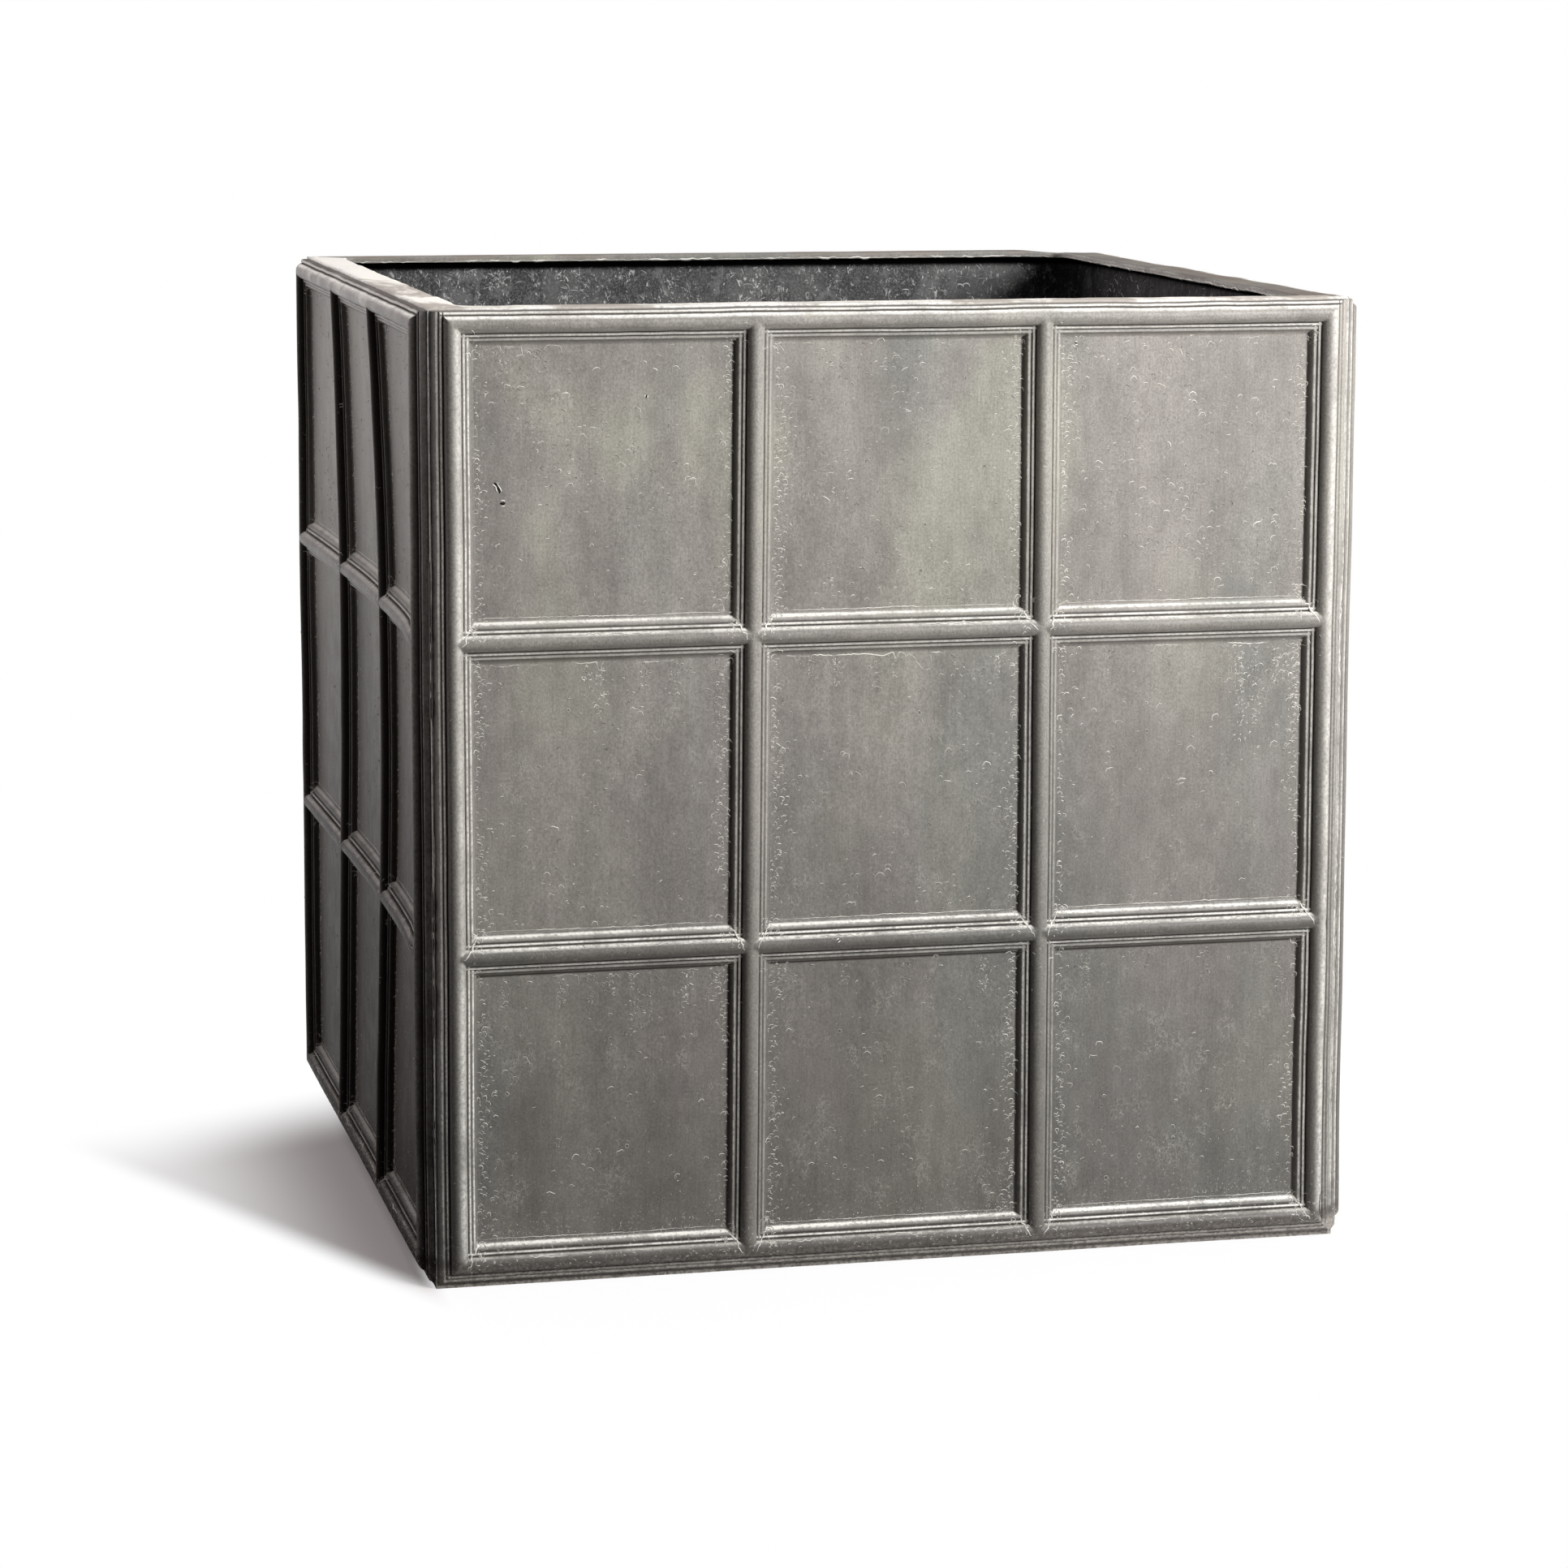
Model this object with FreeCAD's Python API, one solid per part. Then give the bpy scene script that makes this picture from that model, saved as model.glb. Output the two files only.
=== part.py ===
import FreeCAD, Part
import os

from FreeCAD import Vector

# Fibreglass box planter, millimetres, +Z up.
# The origin is on the floor, under the middle of the box. The front faces -Y.
# Each side is one moulded panel: a flat sheet with a grid of ribs on its outside,
# a rim lip turned in at the top and a foot return turned in at the bottom.

# Overall sizes: the box without its ribs, and how far the ribs stand out
body_width = 590.0
body_height = 612.0
relief_height = 10.0

# Moulded sheet
sheet_thickness = 4.0
rim_lip_width = 23.0
rim_corner_radius = 8.0
foot_return_width = 30.0

# Rib section: a half-round, then two reeds and a slope down to the sheet at each side
half_round_half_width = 5.6
half_round_foot_height = 4.6
reed_width = 2.6
inner_reed_crest_height = 5.3
inner_reed_foot_height = 3.8
outer_reed_crest_height = 4.2
outer_reed_foot_height = 2.8
slope_width = 2.1

# Grid of ribs
grid_count = 3
side_margin = 1.3
foot_margin = 2.2
rim_flat_height = 1.6

# Floor and its drain holes
base_thickness = 5.0
drain_radius = 12.5
corner_drain_radius = 8.0
corner_drain_inset = 110.0

# Bonding laminates and the lumps under the lip's mitres
laminate_thickness = 3.0
laminate_bevel = 6.0
corner_laminate_leg = 50.0
base_laminate_leg = 40.0
rim_patch_length = 46.0
rim_patch_setback = 1.0

# Cutting shapes reach past what they cut by this much
overrun = 5.0

half_body = body_width / 2
inner_half = half_body - sheet_thickness
lip_half = half_body - rim_lip_width
lip_underside = body_height - sheet_thickness
base_top = sheet_thickness + base_thickness
laminate_face = inner_half - laminate_thickness
laminate_floor = base_top + laminate_thickness

reed_joint = half_round_half_width + reed_width
reeds_edge = reed_joint + reed_width
rib_edge = reeds_edge + slope_width

# Rib centres: across the panel from its middle, and up from the floor
outer_rib_place = half_body - side_margin - rib_edge
foot_rib_height = foot_margin + rib_edge
rim_ledge_height = body_height - rim_flat_height
rim_rib_height = rim_ledge_height - reed_joint
upright_step = 2 * outer_rib_place / grid_count
rail_step = (rim_rib_height - foot_rib_height) / grid_count
upright_places = [upright_step * i - outer_rib_place for i in range(grid_count + 1)]
rail_heights = [rail_step * i + foot_rib_height for i in range(grid_count + 1)]


def box(low, high):
    return Part.makeBox(high[0] - low[0], high[1] - low[1], high[2] - low[2], Vector(*low))


def flat_face(points):
    corners = [Vector(*point) for point in points]
    return Part.Face(Part.makePolygon(corners + corners[:1]))


def rib_face(place):
    """Section of a rib. place turns a distance across and a height out into a point."""
    crest_left = (-half_round_half_width, half_round_foot_height)
    crest_right = (half_round_half_width, half_round_foot_height)
    root = -sheet_thickness / 2
    edges = [Part.Arc(place(*crest_left), place(0, relief_height), place(*crest_right)).toShape()]
    for side in (-1, 1):
        foot = place(side * half_round_half_width, half_round_foot_height)
        inner = place(side * (half_round_half_width + reed_width / 2), inner_reed_crest_height)
        joint = place(side * reed_joint, inner_reed_foot_height)
        outer = place(side * (reed_joint + reed_width / 2), outer_reed_crest_height)
        edge = place(side * reeds_edge, outer_reed_foot_height)
        sheet = place(side * rib_edge, 0)
        edges.append(Part.Arc(foot, inner, joint).toShape())
        edges.append(Part.Arc(joint, outer, edge).toShape())
        edges.append(Part.makeLine(edge, sheet))
        edges.append(Part.makeLine(sheet, place(side * rib_edge, root)))
    edges.append(Part.makeLine(place(-rib_edge, root), place(rib_edge, root)))
    return Part.Face(Part.Wire(Part.__sortEdges__(edges)))


def upright_rib(centre, low, high):
    """Rib up the front panel, from height low to height high."""
    face = rib_face(lambda across, out: Vector(centre + across, -half_body - out, low))
    return face.extrude(Vector(0, 0, high - low))


def rail_rib(height, low, high):
    """Rib across the front panel, from low to high along X."""
    face = rib_face(lambda across, out: Vector(low, -half_body - out, height + across))
    return face.extrude(Vector(high - low, 0, 0))


def rib_grid():
    """Ribs of the front panel, mitred at its four corners."""
    left, right = upright_places[0], upright_places[-1]
    ribs = [upright_rib(centre, foot_rib_height, rim_rib_height) for centre in upright_places]
    ribs += [rail_rib(height, left, right) for height in rail_heights]
    for centre, reach in ((left, -half_body), (right, half_body)):
        for height, end in ((foot_rib_height, 0), (rim_rib_height, rim_ledge_height)):
            upright = upright_rib(centre, min(height, end), max(height, end))
            rail = rail_rib(height, min(centre, reach), max(centre, reach))
            ribs.append(upright.common(rail))
    grid = ribs[0].multiFuse(ribs[1:])
    far = half_body + relief_height + overrun
    above = box((-far, -far, rim_ledge_height), (far, 0, body_height + overrun))
    return grid.cut(above)


def upright_edges(shape):
    return [edge for edge in shape.Edges if edge.Vertexes[0].Z != edge.Vertexes[1].Z]


def square_ring(inner, corner_radius, low, high):
    """Flat ring between the box's outside and a square hole of half width inner."""
    ring = box((-half_body, -half_body, low), (half_body, half_body, high))
    hole = box((-inner, -inner, low - overrun), (inner, inner, high + overrun))
    if corner_radius:
        hole = hole.makeFillet(corner_radius, upright_edges(hole))
    return ring.cut(hole)


def side_wedge():
    """Quarter of the plan, between the two mitre planes beside the front panel."""
    reach = half_body + relief_height + overrun
    face = flat_face([(0, 0, -overrun), (-reach, -reach, -overrun), (reach, -reach, -overrun)])
    return face.extrude(Vector(0, 0, body_height + 2 * overrun))


def wall_panel():
    """Front panel: sheet, rim lip, foot return and ribs, with mitred ends."""
    sheet = box((-half_body, -half_body, 0), (half_body, -inner_half, body_height))
    lip = square_ring(lip_half, rim_corner_radius, lip_underside, body_height)
    foot = square_ring(half_body - foot_return_width, 0, 0, sheet_thickness)
    shell = sheet.multiFuse([lip, foot]).common(side_wedge())
    return shell.fuse(rib_grid()).removeSplitter()


def base_panel():
    base = box((-inner_half, -inner_half, sheet_thickness), (inner_half, inner_half, base_top))
    corner = half_body - corner_drain_inset
    holes = [(0, 0, drain_radius)]
    holes += [(x, y, corner_drain_radius) for x in (-corner, corner) for y in (-corner, corner)]
    drill = base_thickness + 2 * overrun
    for x, y, radius in holes:
        base = base.cut(Part.makeCylinder(radius, drill, Vector(x, y, sheet_thickness - overrun)))
    return base


def corner_laminate():
    """Angle in the front left corner, from the floor up to the rim lip."""
    end = inner_half - corner_laminate_leg
    bend = laminate_face - laminate_bevel
    outline = [(-inner_half, -inner_half), (-end, -inner_half), (-end, -laminate_face),
               (-bend, -laminate_face), (-laminate_face, -bend), (-laminate_face, -end),
               (-inner_half, -end)]
    face = flat_face([(x, y, base_top) for x, y in outline])
    return face.extrude(Vector(0, 0, lip_underside - base_top))


def base_laminate():
    """Angle between the front panel and the floor, from corner laminate to corner laminate."""
    end = inner_half - corner_laminate_leg
    leg_end = inner_half - base_laminate_leg
    leg_top = base_top + base_laminate_leg
    outline = [(-inner_half, base_top), (-leg_end, base_top), (-leg_end, laminate_floor),
               (laminate_bevel - laminate_face, laminate_floor),
               (-laminate_face, laminate_floor + laminate_bevel),
               (-laminate_face, leg_top), (-inner_half, leg_top)]
    face = flat_face([(-end, y, z) for y, z in outline])
    return face.extrude(Vector(2 * end, 0, 0))


def rim_patch():
    """Bonding lump under the lip's mitre in the front left corner."""
    low = lip_underside - laminate_thickness
    edge = lip_half + rim_patch_setback
    end = laminate_face - rim_patch_length
    bend = laminate_face - laminate_bevel
    outline = [(-bend, -laminate_face), (-end, -laminate_face), (-end, -edge), (-edge, -edge),
               (-edge, -end), (-laminate_face, -end), (-laminate_face, -bend)]
    patch = flat_face([(x, y, low) for x, y in outline]).extrude(Vector(0, 0, laminate_thickness))
    inside = [line for line in upright_edges(patch)
              if line.Vertexes[0].X == -edge and line.Vertexes[0].Y == -edge]
    return patch.makeFillet(rim_corner_radius + rim_patch_setback, inside)


def turned(shape, quarter_turns):
    copy = shape.copy()
    copy.rotate(Vector(0, 0, 0), Vector(0, 0, 1), 90 * quarter_turns)
    return copy


def planter():
    sides = ["front", "right", "back", "left"]
    corners = ["front_left", "front_right", "back_right", "back_left"]
    wall, floor_angle = wall_panel(), base_laminate()
    corner_angle, patch = corner_laminate(), rim_patch()
    nodes = {"base_panel": base_panel()}
    for quarter, (side, corner) in enumerate(zip(sides, corners)):
        nodes[side + "_wall_panel"] = turned(wall, quarter)
        nodes["base_laminate_" + side] = turned(floor_angle, quarter)
        nodes["corner_laminate_" + corner] = turned(corner_angle, quarter)
        nodes["rim_patch_" + corner] = turned(patch, quarter)
    return nodes


os.makedirs("parts", exist_ok=True)
for name, shape in planter().items():
    print(name, "solids", len(shape.Solids), "valid", shape.isValid(), "volume", shape.Volume)
    shape.exportStep("parts/" + name + ".step")
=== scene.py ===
import math

import bpy
import numpy as np
from mathutils import Matrix, Vector


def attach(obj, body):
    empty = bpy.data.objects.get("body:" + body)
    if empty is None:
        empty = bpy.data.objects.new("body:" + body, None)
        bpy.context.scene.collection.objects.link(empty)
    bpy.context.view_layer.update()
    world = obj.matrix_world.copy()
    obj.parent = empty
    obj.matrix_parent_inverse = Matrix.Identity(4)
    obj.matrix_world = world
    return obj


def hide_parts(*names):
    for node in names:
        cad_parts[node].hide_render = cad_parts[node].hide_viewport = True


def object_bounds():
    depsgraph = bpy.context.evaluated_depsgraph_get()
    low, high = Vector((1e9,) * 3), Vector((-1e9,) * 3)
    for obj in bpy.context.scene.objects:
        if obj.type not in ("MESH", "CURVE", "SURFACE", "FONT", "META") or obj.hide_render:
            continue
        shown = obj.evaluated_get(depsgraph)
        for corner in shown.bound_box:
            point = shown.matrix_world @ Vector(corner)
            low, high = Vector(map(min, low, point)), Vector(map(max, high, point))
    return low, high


# Fibreglass box planter: patinated moulded sides, rough laminate inside.
# Metres, +Z up, front side towards -Y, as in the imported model.

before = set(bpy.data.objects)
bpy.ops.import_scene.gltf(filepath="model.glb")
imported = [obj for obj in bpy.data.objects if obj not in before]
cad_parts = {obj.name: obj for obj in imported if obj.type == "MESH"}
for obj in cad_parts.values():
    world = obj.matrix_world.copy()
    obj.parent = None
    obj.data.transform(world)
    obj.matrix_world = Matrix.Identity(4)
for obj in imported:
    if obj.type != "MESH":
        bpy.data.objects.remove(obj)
cad_low, cad_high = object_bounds()
mm = 0.001

# Box, sheet, lip and floor
relief_height = 10 * mm
half_body = cad_high.x - relief_height
body_height = cad_high.z
sheet_thickness = 4 * mm
rim_lip_width = 23 * mm
rim_corner_radius = 8 * mm
foot_return_width = 30 * mm
base_top = 9 * mm
lip_underside = body_height - sheet_thickness
lip_half = half_body - rim_lip_width
inner_half = half_body - sheet_thickness

# Rib section
half_round_half_width = 5.6 * mm
half_round_foot_height = 4.6 * mm
reed_width = 2.6 * mm
inner_reed = (half_round_foot_height, 5.3 * mm, 3.8 * mm)
outer_reed = (3.8 * mm, 4.2 * mm, 2.8 * mm)
slope_width = 2.1 * mm
reed_joint = half_round_half_width + reed_width
reeds_edge = reed_joint + reed_width
rib_edge = reeds_edge + slope_width
half_round_rise = relief_height - half_round_foot_height
half_round_radius = (half_round_half_width ** 2 + half_round_rise ** 2) / (2 * half_round_rise)

# Grid of ribs
grid_count = 3
side_margin = 1.3 * mm
foot_margin = 2.2 * mm
rim_flat_height = 1.6 * mm
outer_rib_place = half_body - side_margin - rib_edge
foot_rib_height = foot_margin + rib_edge
rim_ledge_height = body_height - rim_flat_height
rim_rib_height = rim_ledge_height - reed_joint
upright_places = np.linspace(-outer_rib_place, outer_rib_place, grid_count + 1)
rail_heights = np.linspace(foot_rib_height, rim_rib_height, grid_count + 1)

SIDES = ["front", "right", "back", "left"]
CORNERS = ["front_left", "front_right", "back_right", "back_left"]


# Noise, the same in every run

def hashed(x, y, z, seed):
    h = (x * 374761393 + y * 668265263 + z * 1440670441 + seed * 974634777) & 0xFFFFFFFF
    h = ((h ^ (h >> 13)) * 1274126177) & 0xFFFFFFFF
    h = ((h ^ (h >> 16)) * 2246822519) & 0xFFFFFFFF
    return ((h ^ (h >> 15)) & 0xFFFFFF) / float(0xFFFFFF) * 2 - 1


def noise(points, size, seed):
    """Smooth noise from -1 to 1. size is the distance between its lattice points, in metres."""
    p = np.asarray(points, float) / size
    base = np.floor(p).astype(np.int64)
    t = p - base
    t = t * t * t * (t * (t * 6 - 15) + 10)
    total = 0
    for corner in range(8):
        step = np.array([corner & 1, corner >> 1 & 1, corner >> 2 & 1])
        weight = np.prod(np.where(step, t, 1 - t), axis=-1)
        cell = base + step
        total = total + weight * hashed(cell[..., 0], cell[..., 1], cell[..., 2], seed)
    return total


def waves(points, kinds, seed, lift=0):
    """Sum of waves of several depths and lengths. With a lift of 1 none falls below zero."""
    return sum(depth * (lift + noise(points, size, seed + i)) for i, (depth, size) in enumerate(kinds))


def line_noise(along, size, seed):
    along = np.asarray(along, float)
    return noise(np.stack([along, along * 0, along * 0], axis=-1), size, seed)


def line_noises(along, sizes, *seeds):
    return [line_noise(along, size, seed) for size, seed in zip(sizes, seeds)]


def smooth(low, high, value):
    t = np.clip((value - low) / (high - low), 0, 1)
    return t * t * (3 - 2 * t)


def hat(value, middle, half_width):
    return np.clip(1 - np.abs(value - middle) / half_width, 0, 1)


# How the hand-laid box departs from a true one

# Sides that are dished inwards, the left one most near its front third
dish_depth = {"front": 0.8 * mm, "right": 1.5 * mm, "back": 1.8 * mm, "left": 6.9 * mm}
dish_reach = 90 * mm
dish_start = 25 * mm
# A sheet that isn't quite flat, and a rim that isn't quite level: depth and length of the waves
sheet_waves = [(0.35 * mm, 95 * mm), (0.14 * mm, 31 * mm)]
sheet_inset = 0.3 * mm
rim_waves = [(0.35 * mm, 42 * mm), (0.18 * mm, 13 * mm)]
lip_wave = (0.5 * mm, 17 * mm)
rim_zone = (body_height - 30 * mm, body_height - 5 * mm)
back_rim_share = 0.85
# The rim's back right corner has sunk and lost its point
droop_depth = 4.2 * mm
droop_reach = 55 * mm
droop_height = 60 * mm
blunt_reach = 20 * mm


def side_frame(side):
    """Unit vectors along a side, seen from outside left to right, and out of it."""
    quarter = SIDES.index(side)
    along = [(1, 0), (0, 1), (-1, 0), (0, -1)][quarter]
    out = [(0, -1), (1, 0), (0, 1), (-1, 0)][quarter]
    return np.array(along, float), np.array(out, float)


def settled(points):
    """Moves points of a true box to where the moulding has them."""
    p = np.array(points, float)
    height = np.clip(p[:, 2] / body_height, 0, 1)
    moved = np.zeros_like(p)
    for side in SIDES:
        along, out = side_frame(side)
        depth = half_body - p[:, :2] @ out
        share = (p[:, :2] @ along + half_body - dish_start) / (2 * half_body - 2 * dish_start)
        if side == "left":
            share = 1 - share
        share = np.clip(share, 0, 1)
        across = np.sin(np.pi * share ** 0.75) * smooth(0, 0.1, share)
        up = np.sin(np.pi * height ** 1.3)
        near = 1 - smooth(0.25 * dish_reach, dish_reach, depth)
        moved[:, :2] -= np.outer(dish_depth[side] * across * up * near, out)
    wave = waves(p, sheet_waves, 3)
    rim = smooth(*rim_zone, p[:, 2])
    inward = -np.sign(p[:, :2]) * (np.abs(p[:, :2]) > 0.8 * half_body)
    moved[:, :2] += inward * (wave + sheet_inset)[:, None]
    low_rim = 1 - back_rim_share * smooth(0.5 * half_body, half_body, p[:, 1])
    moved[:, 2] -= rim * low_rim * waves(p, rim_waves, 5, 1)
    lip = rim * smooth(half_body, lip_half, np.abs(p[:, :2]).max(1))
    moved[:, :2] += inward * (lip * lip_wave[0] * noise(p, lip_wave[1], 7))[:, None]
    reach = np.linalg.norm(p[:, :2] - half_body, axis=1)
    sunk = (1 - smooth(0, droop_reach, reach)) * smooth(body_height - droop_height, body_height, p[:, 2])
    moved[:, 2] -= droop_depth * sunk
    moved[:, :2] -= (0.5 * droop_depth * sunk * (1 - smooth(0, blunt_reach, reach)))[:, None]
    return p + moved


def kept_inside(points):
    return np.clip(points, np.array(cad_low), np.array(cad_high))


# Rib section and its wear

def arc_height(across, start, middle, end, heights):
    """Height of the round bead through three points of a reed, at a distance across."""
    (x1, y1), (x2, y2), (x3, y3) = zip((start, middle, end), heights)
    a = np.array([[x2 - x1, y2 - y1], [x3 - x2, y3 - y2]]) * 2
    b = np.array([x2 ** 2 - x1 ** 2 + y2 ** 2 - y1 ** 2, x3 ** 2 - x2 ** 2 + y3 ** 2 - y2 ** 2])
    cx, cy = np.linalg.solve(a, b)
    radius = math.hypot(x1 - cx, y1 - cy)
    return cy + np.sqrt(np.clip(radius ** 2 - (across - cx) ** 2, 0, None))


def rib_height(across):
    """Height of a rib over the sheet at a distance from its middle."""
    u = np.abs(across)
    crown = relief_height - half_round_radius + np.sqrt(np.clip(half_round_radius ** 2 - u ** 2, 0, None))
    inner, outer = (arc_height(u, start, start + reed_width / 2, end, heights) for start, end, heights in
                    ((half_round_half_width, reed_joint, inner_reed), (reed_joint, reeds_edge, outer_reed)))
    slope = outer_reed[2] * (rib_edge - u) / slope_width
    return np.select([u <= half_round_half_width, u <= reed_joint, u <= reeds_edge, u < rib_edge],
                     [crown, inner, outer, slope], 0)


# Worn paint and painted light of one side of a rib: darkening in its grooves, deeper on the side away from
# the light as painted shade; pale paint on its inner reed, outer reed, slope and half-round, with painted
# highlights on lit reed sides and on reeds in shade; painted shade on its half-round and its slope on the
# side away from the light; and where across a reed its pale line lies
wear_and_light_kind_shares = {
    "upright_left": (1.2, 1.2, 1.1, 0.0, 0.0, 0.25, 0.75, 0.74),
    "upright_right": (0.4, 0.2, 0.25, 0.0, 0.1, 0.0, 0.3, 0.58),
    "upright_shaded": (1.2, 0.2, 0.2, 0.0, 0.0, 0.9, 1.0, 0.58),
    "corner_right": (0.2, 1.0, 1.0, 0.0, 0.3, 0.0, 0.1, 0.58),
    "corner_side": (1.2, 0.6, 1.1, 0.6, 0.0, 0.3, 0.0, 0.58),
    "rail_upper": (1.0, 1.8, 0.1, 1.8, 1.5, 0.0, 0.0, 0.58),
    "rail_lower": (1.3, 0.95, 0.55, 0.2, 0.35, 0.0, 0.1, 0.58),
}
groove_half_width = 0.65 * mm
foot_groove_half_width = 1.6 * groove_half_width
reed_line_half_width = 0.8 * mm
flank_place = 4.6 * mm
flank_half_width = 1.1 * mm
rail_end_reach = 14 * mm
handled_place = 2.6 * mm
handled_half_width = 3.6 * mm
smear_sizes = (26 * mm, 7 * mm)
smear_reach = 7 * mm
box_edge_reach = 3.4 * mm
box_edge_width = 1.6 * mm
crossing_blend = 0.9 * mm


def wear_and_light_shares(across, low_kind, high_kind):
    """Darkening and pale paint across a rib, partly painted shade and painted highlights. low_kind is that of
    its left or lower side.
    """
    u = np.abs(across)
    starts = (half_round_half_width, reed_joint)
    grooves = np.max([hat(u, start, groove_half_width) for start in starts], axis=0)
    foot = hat(u, rib_edge, foot_groove_half_width)
    on_slope = hat(u, 0.5 * (reeds_edge + rib_edge), 0.75 * slope_width)
    on_flank = hat(u, flank_place, flank_half_width)
    hollow = smooth(0.0, 0.65 * half_round_half_width, u) * (u < half_round_half_width)
    sides = []
    for kind in (low_kind, high_kind):
        # The flank and slope shares darken the side away from the light as painted shade, and the pale reed
        # lines on lit sides are painted highlights
        groove_wash_and_shade, inner, outer, slope, flank, flank_shade, slope_shade, line = wear_and_light_kind_shares[kind]
        wash_and_shade = np.max([grooves * groove_wash_and_shade, foot * groove_wash_and_shade, on_slope * slope_shade, hollow * flank_shade], axis=0)
        inner_line, outer_line = (hat(u, start + line * reed_width, reed_line_half_width) for start in starts)
        rubbed_and_lit = np.max([inner_line * inner, outer_line * outer, on_slope * slope, on_flank * flank], axis=0)
        sides.append(np.stack([wash_and_shade, rubbed_and_lit]))
    return np.where(across > 0, sides[1], sides[0])


# Lines along which a panel is meshed
arc_angles = (0, 15, 30, 45, 60, 75)
reed_line_shares = (0.12, 0.35, 0.62, 0.88, 1)
slope_line_shares = (0.5, 1)
panel_line_count = 44
foot_line = 1.2 * mm
least_gap = 0.02 * mm


def rib_lines():
    """Distances from a rib's middle at which its section is drawn."""
    lines = [half_round_radius * math.sin(math.radians(a)) for a in arc_angles]
    lines.append(half_round_half_width)
    for start in (half_round_half_width, reed_joint):
        lines += [start + share * reed_width for share in reed_line_shares]
    return lines + [reeds_edge + share * slope_width for share in slope_line_shares]


def grid_lines(centres, low, high):
    """Lines across the whole panel: close together on the ribs, wider between them."""
    edge = rib_edge + foot_line
    lines = {low, high}
    for centre in centres:
        for u in rib_lines() + [edge]:
            lines |= {centre - u, centre + u}
    for a, b in zip(centres[:-1], centres[1:]):
        lines |= set(np.linspace(a + edge, b - edge, panel_line_count))
    found = sorted(line for line in lines if low <= line <= high)
    kept = [found[0]]
    for line in found[1:]:
        if line - kept[-1] > least_gap:
            kept.append(line)
    return np.array(kept)


def nearest(value, centres):
    gaps = value[..., None] - np.asarray(centres)
    index = np.abs(gaps).argmin(-1)
    return np.take_along_axis(gaps, index[..., None], -1)[..., 0]


def soft_max(a, b, blend):
    h = np.clip(0.5 + 0.5 * (a - b) / blend, 0, 1)
    return b + (a - b) * h + blend * h * (1 - h)


def relief(s, z, side="front"):
    """Height over the sheet and shares of darkening with painted shade, pale paint with painted highlights,
    and rail, at places on a panel.
    """
    across, up = nearest(s, upright_places), nearest(z, rail_heights)
    upright, rail = rib_height(across), rib_height(up)
    past_post = np.abs(s) > outer_rib_place
    past_rail = (z < foot_rib_height) | (z > rim_rib_height)
    cases = [past_post & past_rail, past_post, past_rail]
    both = np.minimum(soft_max(upright, rail, crossing_blend), relief_height)
    height = np.select(cases, [np.minimum(upright, rail), upright, rail], both)
    on_upright = np.select(cases, [upright < rail, True, False], upright >= rail)
    # The corner post that the light falls on has its own worn paint and painted light, on the left side and
    # on the others; on the left side the uprights' sides towards the front get painted shade
    on_post = np.abs(s) > outer_rib_place - rib_edge
    kinds = ("upright_left", "upright_right", "corner_right")
    lit_end = -1
    if side == "left":
        kinds = ("upright_right", "upright_shaded", "corner_side")
        lit_end = 1
    lit_post = (lit_end * s > 0.5 * half_body) & on_post
    upright_wash_and_shade, upright_rubbed_and_lit = np.where(lit_post, wear_and_light_shares(across, kinds[0], kinds[2]),
                                            wear_and_light_shares(across, kinds[0], kinds[1]))
    rail_wash_and_shade, rail_rubbed_and_lit = wear_and_light_shares(up, "rail_lower", "rail_upper")
    # The rails' paint is worn most beside the uprights, and the corner posts are the most handled
    end = np.exp(-np.clip(np.abs(across) - rib_edge, 0, None) / rail_end_reach)
    handled = 0.5 * hat(across, handled_place, handled_half_width) * on_post
    groove_wash_and_shade = np.where(on_upright, upright_wash_and_shade, rail_wash_and_shade)
    rubbed_and_highlit = np.where(on_upright, np.maximum(upright_rubbed_and_lit, handled), rail_rubbed_and_lit * (0.8 + 0.2 * end))
    if side == "left":
        # Pale smears along the rim of the left side
        spots = np.stack([0.4 * s, z * 0, z], -1)
        smear = smooth(0.0, 0.8, noise(spots, smear_sizes[0], 61) + 0.5 * noise(spots, smear_sizes[1], 62))
        rubbed_and_highlit = np.maximum(rubbed_and_highlit, 0.75 * smear * smooth(rim_rib_height - smear_reach, rim_rib_height, z))
    # The box's own edges are worn pale too, which also lightens their shade as painted light
    at_edge = smooth(half_body - box_edge_reach, half_body - box_edge_width, np.abs(s))
    rubbed_and_highlit = np.maximum(rubbed_and_highlit, 0.55 * at_edge)
    return height, groove_wash_and_shade, rubbed_and_highlit, np.where(on_upright, 0.0, 1.0) * smooth(0, mm, height)


# Uprights that lean: shift at the foot and at the rim, seen from outside, + to the right
upright_leans = {
    "front": [(0.0, 0.0), (-2.8 * mm, 1.7 * mm), (-0.5 * mm, -1.0 * mm), (0.0, 0.0)],
    "right": [(0.0, 0.0), (0.8 * mm, -0.9 * mm), (-1.0 * mm, 0.7 * mm), (0.0, 0.0)],
    "back": [(0.0, 0.0), (1.2 * mm, -0.6 * mm), (0.9 * mm, -1.1 * mm), (0.0, 0.0)],
    "left": [(0.0, 0.0), (-0.8 * mm, 0.8 * mm), (0.7 * mm, -0.9 * mm), (0.0, 0.0)],
}


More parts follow.
